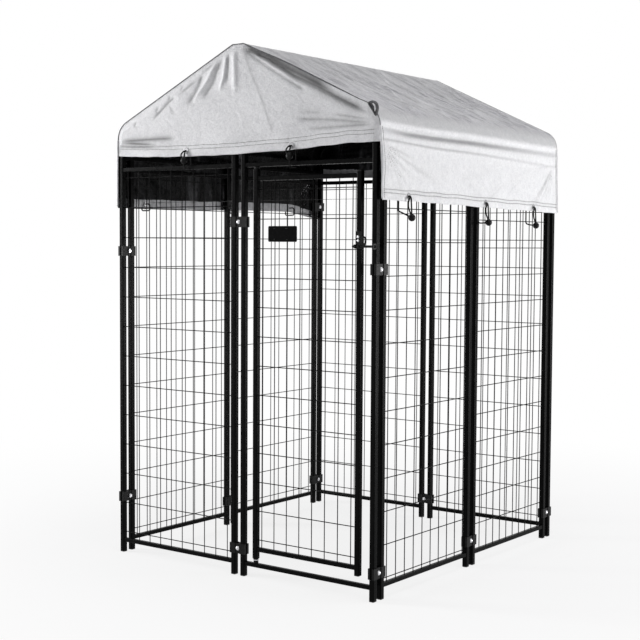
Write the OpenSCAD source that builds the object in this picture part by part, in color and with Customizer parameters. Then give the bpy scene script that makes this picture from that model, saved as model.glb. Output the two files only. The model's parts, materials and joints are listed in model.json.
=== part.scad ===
// Outdoor dog kennel run: eight clamped tube panels, a swinging gate and a fabric gable roof.
// X runs to the right along the front, Y to the back, Z up. The origin is on the ground, at the centre.

/* [Panels] */
// Centre distance of the two posts of one panel
panel_w = 544; // [420:1:760]
// Centre distance of two posts that are clamped together
joint_w = 42; // [38:0.5:52]
// Outside width of the square posts
post_w = 19; // [17:0.5:22]
// Corner radius of the square posts
post_r = 3; // [1.5:0.1:4]
// Wall of all square tubes
tube_wall = 1.2; // [0.8:0.1:1.6]
// Outside width of the square rails
rail_w = 15; // [12:0.5:17]
// Corner radius of the square rails
rail_r = 2.5; // [1:0.1:3]
// Height of the axis of the lower rails
rail_low_z = 46; // [34:1:70]
// Height of the front and back posts
end_post_h = 1490; // [1200:1:1700]
// How much lower the side posts are, which carry the eave purlins
side_post_drop = 35; // [28:1:44]
// Distance of the axis of the upper rails below the tops of the front and back posts
rail_top_drop = 71; // [64:1:90]

/* [Wire grids] */
// Wire thickness
wire_d = 3; // [2:0.1:4]
// How far crossing wires are pressed into each other at a weld
weld_depth = 0.4; // [0.2:0.05:0.6]
// Height of the lowest row
row_first = 78; // [66:1:100]
// Height of the lowest row of the right front panel
right_front_row_first = 66; // [64:1:100]
// Height of the lowest row of the right back panel
right_back_row_first = 145; // [66:1:150]
// Distance between rows
row_pitch = 109.3; // [90:0.1:110]
// Distance between rows of the right back panel
right_back_row_pitch = 99.6; // [80:0.1:104]
// Least distance from the top row to the upper rail
row_edge = 6; // [4:0.5:20]
// Distance between columns
col_pitch = 53.5; // [40:0.1:54]
// Distance between columns of the right back panel
right_back_col_pitch = 50; // [40:0.1:52]
// Least distance from a post axis to the nearest column
col_edge = 27; // [20:0.5:30]

/* [Gate] */
// Distance from the axis of the left doorway post to the hinge axis
hinge_inset = 55; // [40:1:80]
// Distance from the axis of the right doorway post to the latch stile
latch_inset = 60; // [50:1:80]
// Height of the axis of the lower gate rail
gate_low_z = 102; // [96:1:130]
// Distance of the axis of the upper gate rail below the upper rail of its panel
gate_top_drop = 47; // [44:1:90]
// How far the latch stile reaches below the lower gate rail
stile_drop = 14; // [8:1:18]
// How far the latch stile reaches above the upper gate rail
stile_rise = 6; // [4:1:10]
// Height of the lowest row of the gate
gate_row_first = 135; // [120:1:160]
// Distance between rows of the gate
gate_row_pitch = 100; // [80:0.1:101]
// Distance between columns of the gate
gate_col_pitch = 53.4; // [40:0.1:54]
// Diameter of the hinge pins
pin_d = 9; // [7:0.5:9.5]
// Wall of the upper hinge bush
bush_wall = 1.2; // [0.8:0.1:1.5]
// Wall of the lower hinge collar
collar_wall = 4; // [2:0.1:4.4]
// Length of the lower hinge bush
bush_h = 10; // [8:0.5:12]
// Thickness of the thrust washer and of the bush flange
washer_t = 2.5; // [1.5:0.1:3]

/* [Latch] */
// Distance of the latch bolt below the upper gate rail
latch_drop = 227; // [90:1:500]
// Diameter of the latch bolt
latch_d = 8; // [6:0.5:9]
// Thickness of the latch plates
latch_t = 2.5; // [2:0.1:3]
// Height of the latch housing
latch_h = 56; // [52:1:70]
// Width of each guide lug
guide_w = 5; // [4:0.5:6]
// How far the bolt can slide back
bolt_back = 4; // [2:0.5:5]
// How far the bolt can slide into the keeper
bolt_forward = 12; // [8:0.5:12]
// Width of the oval eye in the handle
eye_w = 9; // [7:0.5:11]
// Height of the oval eye in the handle
eye_h = 18; // [14:0.5:20]
// Rim around the oval eye
eye_rim = 6; // [4:0.5:7]
// Play of the bolt in the square window of the keeper
keeper_play = 1; // [0.6:0.1:1.5]

/* [Sign plate] */
// Width of the plate
sign_w = 122; // [90:1:150]
// Height of the plate
sign_h = 53; // [40:1:80]
// Thickness of the plate
sign_t = 1.5; // [1:0.1:3]
// Corner radius of the plate
sign_r = 5; // [2:0.5:8]
// How far the plate is off the middle between its two columns
sign_shift = 7; // [0:0.5:12]
// Distance of the middle of the plate below the upper gate rail
sign_drop = 187; // [60:1:400]
// Thickness of the tie straps
tie_t = 1.2; // [0.8:0.1:1.6]
// Width of the tie straps
tie_h = 2.5; // [2:0.1:4]

/* [Clamps] */
// Height of a clamp plate
clamp_h = 36; // [28:1:40]
// Thickness of a clamp plate
clamp_t = 2.5; // [1.5:0.1:3]
// Depth of the turned ends of a clamp plate
clamp_lip = 6; // [3:0.5:6.5]
// How far the middle of a clamp plate is pressed in
clamp_dip = 3; // [1.5:0.1:4]
// Diameter of the clamp bolts
bolt_d = 8; // [6:0.5:9]
// Diameter of the domed bolt heads
head_d = 16; // [14:0.5:17]
// Height of the domed bolt heads
head_h = 5; // [3.5:0.1:6]
// Width across flats of the nuts
nut_af = 13; // [12:0.1:15]
// Height of the nuts
nut_h = 6.5; // [5:0.1:8]
// Bolt end that stands out of the nut
bolt_end = 2; // [1:0.1:5]
// Clamps at the middle of the front: height of the lower one, depth of the upper one below the post tops
front_clamps = [95, 264]; // [80:1:600]
// Clamps at the front right corner
front_right_clamps = [92, 418]; // [80:1:600]
// Clamps at the middle of the right side
right_clamps = [92, 170]; // [80:1:600]
// Clamps at the back right corner
back_right_clamps = [100, 170]; // [80:1:600]
// Clamps at the middle of the back
back_clamps = [82, 138]; // [80:1:600]
// Clamps at the back left corner
back_left_clamps = [104, 176]; // [80:1:600]
// Clamps at the middle of the left side
left_clamps = [98, 182]; // [80:1:600]
// Clamps at the front left corner
front_left_clamps = [208, 368]; // [80:1:600]

/* [Roof frame] */
// Straight part of a rafter between its post and the eave bend
eave_rise = 35.42; // [20:0.01:60]
// Slope of the roof in degrees
roof_pitch = 25; // [22:0.5:26]
// Width of the level part of the ridge connectors
ridge_flat = 44; // [30:1:60]
// Outside diameter of the roof tubes
rafter_d = 16; // [12:0.5:16]
// Radius of the rafter axis at the eave
eave_r = 60; // [45:1:70]
// Depth of the rafter legs in the posts
leg_depth = 60; // [40:1:75]
// Length of the sockets of the ridge connectors
socket_l = 55; // [40:1:80]
// Wall of the sockets
socket_wall = 1.7; // [1.2:0.1:2]
// Thickness of the purlin end plates
plate_t = 2; // [1.5:0.1:3]
// Diameter of the purlin screws
screw_d = 5; // [4:0.1:6]

/* [Cover] */
// Thickness of the cover
cover_t = 2; // [1:0.1:2.5]
// How far the hem of the side skirts lies below the post tops, at the middle
skirt_hem_drop = 205; // [150:1:300]
// How much lower the hem of the left skirt is at its back end than at the middle
left_fall = -5; // [-12:0.5:12]
// How much lower the hem of the right skirt is at its back end than at the middle
right_fall = 9; // [-12:0.5:12]
// How far the left skirt leans out at the hem, at its front and back end
left_flare = [2, 6]; // [0:0.5:28]
// How far the right skirt leans out at the hem, at its front and back end
right_flare = [25, 6]; // [0:0.5:28]
// Depth of the folds in the skirts
skirt_fold = 4; // [0:0.5:6]
// Number of folds in a skirt
skirt_folds = 3; // [1:1:4]
// How far the hem lies below the post tops at the middle of the front gable
front_hem_drop = 33; // [22:1:40]
// How far the hem lies below the post tops at the middle of the back gable
back_hem_drop = 55; // [22:1:60]
// How much higher the gable hem is at the corners
gable_hem_rise = 14; // [0:1:20]
// Sag of the roof between the rafters
roof_sag = 7; // [0:0.5:12]
// Places of the ties across a gable
gable_tie_x = [-238, 233]; // [-420:1:420]
// Places of the ties along a skirt
skirt_tie_y = [-472, 40, 408]; // [-520:1:520]
// Height of the eyelets above the hem of a gable
gable_eyelet = 17; // [14:0.5:24]
// Height of the eyelets above the hem of a skirt
skirt_eyelet = 17; // [15:0.5:40]
// Bore of the eyelets
eyelet_d = 6; // [5.6:0.1:8]
// Outside diameter of the eyelets
eyelet_flange_d = 22; // [18:0.5:24]
// Thickness of the elastic cords
cord_d = 5; // [4:0.1:6]
// Diameter of the balls
ball_d = 24; // [20:0.5:26]
// How far the balls hang below the hem of a gable
gable_ball_drop = 18; // [13:0.5:24]
// How far the balls hang below the hem of the right skirt
skirt_ball_drop = 53; // [46:0.5:60]

/* [Hidden] */
$fn = 32;
// Gaps between pieces
press = 0.05;
slip = 0.1;
loose = 0.3;
// Places of the posts
half_x = panel_w + joint_w/2;
half_y = half_x + joint_w;
side_post_h = end_post_h - side_post_drop;
rail_top_z = end_post_h - rail_top_drop;
post_face = post_w/2;
rail_low_face = rail_low_z + rail_w/2;
rail_top_face = rail_top_z - rail_w/2;
post_bore = post_w - 2*tube_wall;
plug_t = 5;
plug_stem = 15;
plug_chamfer = 2.5;
// Name, first post, turn, post height, grid of each panel
wide_grid = [row_first, row_pitch, col_pitch];
right_front_grid = [right_front_row_first, row_pitch, col_pitch];
right_back_grid = [right_back_row_first, right_back_row_pitch, right_back_col_pitch];
FRONT_LEFT = [[-half_x, -half_y], 0, end_post_h, wide_grid];
GATE_PANEL = [[joint_w/2, -half_y], 0, end_post_h, wide_grid];
RIGHT_FRONT = [[half_x, joint_w - half_y], 90, side_post_h, right_front_grid];
RIGHT_BACK = [[half_x, joint_w/2], 90, side_post_h, right_back_grid];
BACK_RIGHT = [[half_x, half_y], 180, end_post_h, wide_grid];
BACK_LEFT = [[-joint_w/2, half_y], 180, end_post_h, wide_grid];
LEFT_BACK = [[-half_x, half_y - joint_w], 270, side_post_h, wide_grid];
LEFT_FRONT = [[-half_x, -joint_w/2], 270, side_post_h, wide_grid];
PANELS = [FRONT_LEFT, GATE_PANEL, RIGHT_FRONT, RIGHT_BACK, BACK_RIGHT, BACK_LEFT, LEFT_BACK, LEFT_FRONT];
// Gate
hinge_x = joint_w/2 + hinge_inset;
latch_x = half_x - latch_inset;
gate_top_z = rail_top_z - gate_top_drop;
gate_rows = fitting(gate_top_z - rail_w/2 - row_edge - gate_row_first, gate_row_pitch);
gate_cols = fitting(latch_x - hinge_x - 2*col_edge, gate_col_pitch);
washer_low_z = rail_low_face + bush_h;
pin_flange_z = washer_low_z + washer_t + loose;
pin_flange_t = 4;
hinge_stile_low = pin_flange_z + pin_flange_t;
bush_flange_z = rail_top_face - washer_t;
hinge_stile_top = bush_flange_z - loose - pin_flange_t;
latch_stile_low = gate_low_z - rail_w/2 - stile_drop;
latch_stile_top = gate_top_z + rail_w/2 + stile_rise;
bush_r = pin_d/2 + press + bush_wall;
flange_r = post_face;
pin_stem = 30;
wire_back = wire_d - weld_depth;
// Latch
latch_z = gate_top_z - latch_drop;
stile_front = -half_y - post_face;
bolt_r = latch_d/2;
bolt_y = stile_front - latch_t - bolt_r - loose;
guide_gap = post_w - 2*guide_w;
guide_left = latch_x - guide_gap/2 - guide_w;
guide_right = latch_x + guide_gap/2;
guide_d = latch_d + 2*latch_t;
handle_left = guide_right + guide_w + bolt_back + loose;
handle_w = eye_w + 2*eye_rim;
handle_h = eye_h + 2*eye_rim;
bolt_left = guide_left + guide_w - bolt_forward - 2;
keeper_w = 5;
keeper_t = 1.5;
keeper_left = half_x + post_face - keeper_w - 1;
bolt_tip = keeper_left - 2;
rivet_d = 5;
rivet_gap = 12;
sign_z = gate_top_z - sign_drop;
// Clamps
slit = joint_w/2 - post_face;
seat = slit - clamp_dip;
clamp_end = joint_w/2 + post_face + loose;
plate_mid = post_face - clamp_dip + clamp_t;
row_margin = clamp_h/2 + wire_d/2 + 2;
SITES = [
    [[0, -half_y], 0, clamp_heights(front_clamps)],
    [[half_x, joint_w/2 - half_y], 90, clamp_heights(front_right_clamps)],
    [[half_x, 0], 90, clamp_heights(right_clamps)],
    [[half_x, half_y - joint_w/2], 90, [for (z = clamp_heights(back_right_clamps)) off_rows(z)]],
    [[0, half_y], 180, clamp_heights(back_clamps)],
    [[-half_x, half_y - joint_w/2], 270, [for (z = clamp_heights(back_left_clamps)) off_rows(z)]],
    [[-half_x, 0], 270, clamp_heights(left_clamps)],
    [[-half_x, joint_w/2 - half_y], 270, [for (z = clamp_heights(front_left_clamps)) off_rows(z)]]
];
// Roof frame
rafter_r = rafter_d/2;
socket_r = rafter_r + press + socket_wall;
cover_in = socket_r + 0.4;
cover_off = cover_in + cover_t;
bend = 90 - roof_pitch;
bend_x = half_x - eave_r;
bend_z = end_post_h + eave_rise;
flat_z = bend_z + eave_r*tan(bend/2) + (half_x - ridge_flat/2)*tan(roof_pitch);
slope_l = (half_x - ridge_flat/2)/cos(roof_pitch) - eave_r*tan(bend/2);
collar_h = 4;
hub_x = ridge_flat/2 + socket_r*tan(roof_pitch/2) + loose;
hub_r = socket_r - 0.5;
socket_floor = socket_r + 1;
purlin_z = side_post_h + rail_w/2;
purlin_l = 2*(half_y - post_face);
screw_head_d = 2*screw_d - 1;
screw_head_h = 0.6*screw_d;
// Cover
skirt_hem_z = end_post_h - skirt_hem_drop;
gable_y = half_y + post_face + 0.5;
eave_x = bend_x + eave_r + cover_off;
across = 16;
along = 18;
drops = 4;
half_across = across/2;
arc_steps = 3;
slope_steps = half_across - arc_steps - 1;
ring = 2*(across + along);
rings = ring*(drops + 1);
layer = rings + (across - 1)*(along - 1);
eyelet_hole_d = eyelet_d + 2.4;
flange_t = 1.2;
// Elastic ties
cord_r = cord_d/2;
ball_r = ball_d/2;
cord_bend = 8;
cord_sides = 6;
cord_gap = cord_r + 2.5;
taut_ball_out = ball_r + 6;

// Square with round corners, as a polygon of short chords
module round_square(w, r, steps = 3) {
    polygon([for (q = [0:3], s = [0:steps])
        let (a = 90*q + 90*s/steps, c = w/2 - r, t = 90*q + 45)
        [sign(cos(t))*c + r*cos(a), sign(sin(t))*c + r*sin(a)]]);
}

module tube(w, r, l) {
    linear_extrude(l) round_square(w, r);
}

module tube_along_x(w, r, l) {
    rotate([90, 0, 90]) tube(w, r, l);
}

// Puts a panel's own frame in its place: X along the panel, -Y outside
module at_panel(p) {
    translate([p[0][0], p[0][1], 0]) rotate([0, 0, p[1]]) children();
}

// Two posts and two rails, hollow inside, welded into one frame
module panel_tubes(h) {
    bore_r = post_r - tube_wall;
    rail_bore = rail_w - 2*tube_wall;
    difference() {
        union() {
            for (x = [0, panel_w]) translate([x, 0, plug_t]) tube(post_w, post_r, h - plug_t);
            for (z = [rail_low_z, rail_top_z]) translate([0, 0, z]) tube_along_x(rail_w, rail_r, panel_w);
        }
        for (x = [0, panel_w]) translate([x, 0, 0]) tube(post_bore, bore_r, h + 1);
        for (z = [rail_low_z, rail_top_z])
            translate([0, 0, z]) tube_along_x(rail_bore, rail_r - tube_wall, panel_w);
    }
}

module panel_frame(p) {
    color("#1b1b1d") at_panel(p) panel_tubes(p[2]);
}

// Frame of an end panel, with the screw hole of the eave purlin in its corner post
module end_frame(p, corner) {
    color("#1b1b1d") difference() {
        at_panel(p) panel_tubes(p[2]);
        translate([corner[0], 0, purlin_z]) rotate([90*sign(corner[1]), 0, 0])
            translate([0, 0, -half_y]) cylinder(d = screw_d + 2*slip, h = 2*post_face);
    }
}

// How many wires, one pitch apart, fit in a stretch
function fitting(l, pitch) = floor(l/pitch) + 1;

module wire(l) {
    rotate([0, 0, 22.5]) cylinder(d = wire_d/cos(22.5), h = l, $fn = 8);
}

// Welded grid between x_low and x_high and between z_low and z_high, columns outside
module grid(x_low, x_high, z_low, z_high, row_list, col_list) {
    union() {
        for (z = row_list) translate([x_low, 0, z]) rotate([0, 90, 0]) wire(x_high - x_low);
        for (x = col_list) translate([x, -wire_back, z_low]) wire(z_high - z_low);
    }
}

module panel_mesh(p) {
    g = p[3];
    rows = fitting(rail_top_face - row_edge - g[0], g[1]);
    cols = fitting(panel_w - 2*col_edge, g[2]);
    first = (panel_w - (cols - 1)*g[2])/2;
    color("#202022") at_panel(p) grid(post_face, panel_w - post_face, rail_low_face, rail_top_face,
        [for (i = [0:rows - 1]) g[0] + i*g[1]], [for (i = [0:cols - 1]) first + i*g[2]]);
}

// Plug for a post end, with a chamfered face at z = 0
module plug() {
    c = plug_chamfer;
    side = [[-post_face + c, 0], [post_face - c, 0], [post_face, c], [post_face, plug_t],
        [-post_face, plug_t], [-post_face, c]];
    intersection() {
        tube(post_w, post_r, plug_t);
        translate([0, post_w, 0]) rotate([90, 0, 0]) linear_extrude(2*post_w) polygon(side);
        translate([-post_w, 0, 0]) rotate([90, 0, 90]) linear_extrude(2*post_w) polygon(side);
    }
    translate([0, 0, plug_t]) tube(post_bore - 2*slip, post_r - tube_wall, plug_stem);
}

module foot_plugs() {
    color("#161616") for (p = PANELS, x = [0, panel_w]) at_panel(p) translate([x, 0, 0]) plug();
}

module post_top_plugs() {
    color("#161616") for (x = [-joint_w/2, joint_w/2], y = [-half_y, half_y])
        translate([x, y, end_post_h + plug_t]) mirror([0, 0, 1]) plug();
}

// Gate leaf: two hollow stiles and two hollow rails
module gate_frame() {
    bore_r = post_r - tube_wall;
    rail_bore = rail_w - 2*tube_wall;
    color("#1b1b1d") translate([0, -half_y, 0]) difference() {
        union() {
            translate([hinge_x, 0, hinge_stile_low]) tube(post_w, post_r, hinge_stile_top - hinge_stile_low);
            translate([latch_x, 0, latch_stile_low]) tube(post_w, post_r, latch_stile_top - latch_stile_low);
            for (z = [gate_low_z, gate_top_z])
                translate([hinge_x, 0, z]) tube_along_x(rail_w, rail_r, latch_x - hinge_x);
        }
        for (x = [hinge_x, latch_x]) translate([x, 0, 0]) tube(post_bore, bore_r, end_post_h);
        for (z = [gate_low_z, gate_top_z])
            translate([hinge_x, 0, z]) tube_along_x(rail_bore, rail_r - tube_wall, latch_x - hinge_x);
    }
}

module gate_mesh() {
    first = (hinge_x + latch_x - (gate_cols - 1)*gate_col_pitch)/2;
    color("#202022") translate([0, -half_y, 0]) grid(hinge_x + post_face, latch_x - post_face,
        gate_low_z + rail_w/2, gate_top_z - rail_w/2,
        [for (i = [0:gate_rows - 1]) gate_row_first + i*gate_row_pitch],
        [for (i = [0:gate_cols - 1]) first + i*gate_col_pitch]);
}

module gate_stile_plugs() {
    color("#161616") {
        translate([latch_x, -half_y, latch_stile_low - plug_t]) plug();
        translate([latch_x, -half_y, latch_stile_top + plug_t]) mirror([0, 0, 1]) plug();
    }
}

// Pivot pin with a flange under the stile end and a stem inside the stile, pointing down
module hinge_pin(reach) {
    translate([0, 0, -reach]) cylinder(d = pin_d, h = reach + pin_flange_t);
    cylinder(r = flange_r, h = pin_flange_t);
    translate([0, 0, pin_flange_t]) cylinder(d = post_bore - 2*slip, h = pin_stem);
}

module hinge_pin_bottom() {
    color("#1b1b1d") translate([hinge_x, -half_y, pin_flange_z])
        hinge_pin(pin_flange_z - rail_low_face - loose);
}

module hinge_pin_top() {
    color("#1b1b1d") translate([hinge_x, -half_y, hinge_stile_top + pin_flange_t]) mirror([0, 0, 1])
        hinge_pin(washer_t + loose + rail_w - 2*tube_wall);
}

module hinge_bush_bottom() {
    color("#1b1b1d") translate([hinge_x, -half_y, rail_low_face]) difference() {
        cylinder(r = pin_d/2 + press + collar_wall, h = bush_h);
        translate([0, 0, -1]) cylinder(r = pin_d/2 + press, h = bush_h + 2);
    }
}

module hinge_bush_top() {
    l = washer_t + tube_wall;
    color("#1b1b1d") translate([hinge_x, -half_y, bush_flange_z]) difference() {
        union() {
            cylinder(r = flange_r, h = washer_t);
            cylinder(r = bush_r, h = l);
        }
        translate([0, 0, -1]) cylinder(r = pin_d/2 + press, h = l + 2);
    }
}

module hinge_washer() {
    color("#8f9092") translate([hinge_x, -half_y, washer_low_z]) difference() {
        cylinder(r = flange_r, h = washer_t);
        translate([0, 0, -1]) cylinder(r = pin_d/2 + slip, h = washer_t + 2);
    }
}

// Frame of the doorway, with the hole of the upper hinge bush in its top rail
module gate_panel_frame() {
    difference() {
        end_frame(GATE_PANEL, [half_x, -half_y]);
        translate([hinge_x, -half_y, rail_top_face - 1]) cylinder(r = bush_r + press, h = tube_wall + 2);
    }
}

module latch_housing() {
    top = latch_z + latch_h - guide_d/2 - 1;
    color("#1d1d1f") difference() {
        union() {
            translate([latch_x - post_face, stile_front - latch_t, top - latch_h])
                cube([post_w, latch_t, latch_h]);
            for (x = [guide_left, guide_right])
                translate([x, stile_front - guide_d - loose, latch_z - guide_d/2])
                    cube([guide_w, guide_d + loose, guide_d]);
            translate([latch_x + post_face, stile_front - latch_t, top - eye_rim])
                cube([eye_rim, latch_t, eye_rim]);
        }
        translate([0, bolt_y, latch_z]) rotate([0, 90, 0]) cylinder(r = bolt_r + press, h = 2*half_x);
        for (z = latch_rivet_heights()) translate([latch_x, -half_y, z])
            rotate([90, 0, 0]) cylinder(d = rivet_d + slip, h = post_w);
    }
}

function latch_rivet_heights() = [for (s = [1, 2]) latch_z + guide_d/2 + s*rivet_gap];

module latch_rivets() {
    color("#b9babc") for (z = latch_rivet_heights()) translate([latch_x, stile_front, z])
        rotate([90, 0, 0]) {
            cylinder(d = rivet_d, h = latch_t);
            translate([0, 0, latch_t]) rotate_extrude() intersection() {
                translate([0, -rivet_d]) circle(r = 1.5*rivet_d);
                square([0.9*rivet_d, rivet_d]);
            }
        }
}

// Sliding bolt with a flat handle that has an oval eye
module latch_bolt() {
    eye_z = latch_z + bolt_r + handle_h/2 - 1;
    color("#1d1d1f") {
        translate([bolt_left, bolt_y, latch_z]) rotate([0, 90, 0])
            cylinder(r = bolt_r, h = bolt_tip - bolt_left);
        translate([handle_left + handle_w/2, bolt_y + latch_t/2, eye_z]) rotate([90, 0, 0])
            linear_extrude(latch_t) difference() {
                oval(handle_w, handle_h);
                oval(eye_w, eye_h);
            }
    }
}

// Flat oval: a rectangle between two round ends
module oval(w, h) {
    union() {
        square([w, h - w], center = true);
        for (s = [-1, 1]) translate([0, s*(h - w)/2]) circle(d = w);
    }
}

// Keeper on the post: a foot plate and a lug with a square window for the bolt
module latch_keeper() {
    foot_h = guide_d + 8;
    lug_h = guide_d + 4;
    window = latch_d + 2*keeper_play;
    color("#1d1d1f") difference() {
        union() {
            translate([half_x - post_face + post_r, stile_front - keeper_t, latch_z - foot_h/2])
                cube([post_w - 2*post_r, keeper_t, foot_h]);
            translate([keeper_left, stile_front - guide_d - latch_t, latch_z - lug_h/2])
                cube([keeper_w, guide_d + latch_t, lug_h]);
        }
        translate([keeper_left - 1, bolt_y - window/2, latch_z - window/2]) cube([keeper_w + 2, window, window]);
    }
}

// Columns of the gate that carry the sign plate, and the places of its ties
function sign_cols() = let (first = (hinge_x + latch_x - (gate_cols - 1)*gate_col_pitch)/2)
    [for (i = [1, 2]) first + i*gate_col_pitch];
function sign_x() = (sign_cols()[0] + sign_cols()[1])/2;
function tie_heights() = [for (s = [-1, 1]) sign_z + s*(sign_h/2 - 8)];
sign_back = wire_back + wire_d/2;
tie_in = wire_d/2/cos(22.5) + 2*slip;

module sign_plate() {
    slot_t = tie_t + 4*slip;
    slot_h = tie_h + 4*slip;
    color("#0f0f10") difference() {
        translate([sign_x() + sign_shift, -half_y - sign_back, sign_z]) rotate([90, 0, 0])
            linear_extrude(sign_t) union() {
                square([sign_w - 2*sign_r, sign_h], center = true);
                square([sign_w, sign_h - 2*sign_r], center = true);
                for (x = [-1, 1], y = [-1, 1])
                    translate([x*(sign_w/2 - sign_r), y*(sign_h/2 - sign_r)]) circle(r = sign_r);
            }
        for (x = sign_cols(), z = tie_heights(), s = [-1, 1])
            translate([x + s*(tie_in + tie_t/2) - slot_t/2, -half_y - sign_back - sign_t - 1, z - slot_h/2])
                cube([slot_t, sign_t + 2, slot_h]);
    }
}

// Straps that hold the plate on two columns of the gate
module sign_ties() {
    deep = wire_d + sign_t;
    color("#0f0f10") for (x = sign_cols(), z = tie_heights())
        translate([x, -half_y - sign_back - sign_t, z]) difference() {
            translate([-tie_in - tie_t, -tie_t, -tie_h/2])
                cube([2*(tie_in + tie_t), deep + 2*tie_t, tie_h]);
            translate([-tie_in, 0, -tie_h]) cube([2*tie_in, deep, 2*tie_h]);
        }
}

// Moves the height of a corner clamp off the wire rows that end on the same post face
function off_rows(z) = let (
    row = row_first + row_pitch*round((z - row_first)/row_pitch),
    side = z < row ? -1 : 1)
    abs(z - row) < row_margin ? row + side*row_margin : z;

// Heights of a joint's two clamps
function clamp_heights(c) = [c[0], end_post_h - c[1]];

module at_clamps() {
    for (s = SITES, z = s[2]) translate([s[0][0], s[0][1], z]) rotate([0, 0, s[1]]) children();
}

// Saddle plate over two posts, pressed in at the middle and turned over at both ends
module clamp_plate() {
    f = -post_face;
    half = [[0, f + clamp_dip], [seat, f + clamp_dip], [slit, f], [clamp_end, f],
        [clamp_end, f + clamp_lip], [clamp_end + clamp_t, f + clamp_lip], [clamp_end + clamp_t, f - clamp_t],
        [slit - clamp_t/2, f - clamp_t], [seat - clamp_t/2, f + clamp_dip - clamp_t],
        [0, f + clamp_dip - clamp_t]];
    difference() {
        translate([0, 0, -clamp_h/2]) linear_extrude(clamp_h) union() {
            polygon(half);
            mirror([1, 0, 0]) polygon(half);
        }
        rotate([90, 0, 0]) cylinder(d = bolt_d + 2*loose, h = post_w);
    }
}

module clamp_outer_plates() {
    color("#1b1b1d") at_clamps() clamp_plate();
}

module clamp_inner_plates() {
    color("#1b1b1d") at_clamps() rotate([0, 0, 180]) clamp_plate();
}

// Carriage bolt through both plates, with its domed head outside
module clamp_bolts() {
    shank = 2*plate_mid + nut_h + bolt_end;
    sphere_r = (pow(head_d/2, 2) + pow(head_h, 2))/(2*head_h);
    color("#c4c5c7") at_clamps() translate([0, -plate_mid, 0]) rotate([90, 0, 0]) {
        rotate_extrude() intersection() {
            translate([0, head_h - sphere_r]) circle(r = sphere_r, $fn = 96);
            square([head_d/2, head_h]);
        }
        translate([0, 0, -shank]) cylinder(d = bolt_d, h = shank + 1);
    }
}

module clamp_nuts() {
    color("#a9aaac") at_clamps() translate([0, plate_mid, 0]) rotate([-90, 0, 0]) difference() {
        cylinder(d = nut_af/cos(30), h = nut_h, $fn = 6);
        translate([0, 0, -1]) cylinder(d = bolt_d + 2*press, h = nut_h + 2);
    }
}

// Route of a rafter at the right side of the front: leg in the post, eave bend, slope up to the ridge
module rafter_rod(r, low, slope_end) {
    translate([half_x, 0, low]) cylinder(r = r, h = bend_z - low);
    translate([bend_x, 0, bend_z]) rotate([90, 0, 0]) rotate_extrude(angle = bend)
        translate([eave_r, 0]) circle(r = r);
    translate([bend_x + eave_r*cos(bend), 0, bend_z + eave_r*sin(bend)]) rotate([0, -bend, 0])
        translate([0, 0, -1]) cylinder(r = r - press, h = slope_end);
}

// Bent tube with a collar that rests on the post
module rafter() {
    low = end_post_h - leg_depth;
    difference() {
        union() {
            rafter_rod(rafter_r, low, slope_l - socket_floor);
            translate([half_x, 0, end_post_h]) cylinder(r = post_face, h = collar_h);
        }
        rafter_rod(rafter_r - tube_wall, low - 1, slope_l + 1);
    }
}

module place_rafter(side_x, side_y) {
    color("#1b1b1d") translate([0, side_y*half_y, 0]) rotate([0, 0, side_x < 0 ? 180 : 0]) rafter();
}

// Two rods along the slopes of the roof, between two distances from the ends of the level part
module slope_rods(r, start, end) {
    for (s = [0, 180]) rotate([0, 0, s]) translate([ridge_flat/2, 0, 0]) rotate([0, 90 + roof_pitch, 0])
        translate([0, 0, start]) cylinder(r = r, h = end - start);
}

// Ridge connector: level middle, two sloping sockets and one socket for the ridge pole
module ridge_connector() {
    difference() {
        union() {
            translate([-hub_x, 0, 0]) rotate([0, 90, 0]) cylinder(r = hub_r, h = 2*hub_x);
            difference() {
                slope_rods(socket_r, -ridge_flat/2, socket_l);
                cube([2*hub_x, 4*socket_r, 6*socket_r], center = true);
            }
            rotate([-90, 0, 0]) cylinder(r = socket_r, h = socket_l);
        }
        slope_rods(rafter_r + press, socket_floor, socket_l + 1);
        rotate([-90, 0, 0]) translate([0, 0, socket_floor]) cylinder(r = rafter_r + press, h = socket_l);
    }
}

module place_connector(side_y) {
    color("#1b1b1d") translate([0, side_y*half_y, flat_z]) rotate([0, 0, side_y < 0 ? 0 : 180])
        ridge_connector();
}

module ridge_pole() {
    l = 2*(half_y - socket_floor - loose);
    color("#1b1b1d") translate([0, -l/2, flat_z]) rotate([-90, 0, 0]) difference() {
        cylinder(r = rafter_r, h = l);
        translate([0, 0, -1]) cylinder(r = rafter_r - tube_wall, h = l + 2);
    }
}

// Square purlin on the side posts, with a screwed plate against each corner post
module eave_purlin(side) {
    color("#1b1b1d") translate([side*half_x, 0, purlin_z]) difference() {
        translate([0, -purlin_l/2, 0]) rotate([-90, 0, 0]) tube(rail_w, rail_r, purlin_l);
        translate([0, plate_t - purlin_l/2, 0]) rotate([-90, 0, 0])
            tube(rail_w - 2*tube_wall, rail_r - tube_wall, purlin_l - 2*plate_t);
        translate([0, -purlin_l/2 - 1, 0]) rotate([-90, 0, 0])
            cylinder(d = screw_d + 2*slip, h = purlin_l + 2);
    }
}

// Screw through a purlin end plate and the post wall
module purlin_screws() {
    l = plate_t + tube_wall + slip;
    color("#a9aaac") for (x = [-half_x, half_x], s = [0, 1]) mirror([0, s, 0])
        translate([x, -purlin_l/2 + plate_t, purlin_z]) rotate([-90, 0, 0]) {
            translate([0, 0, -l]) cylinder(d = screw_d, h = l);
            cylinder(d = screw_head_d, h = screw_head_h);
        }
}

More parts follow.
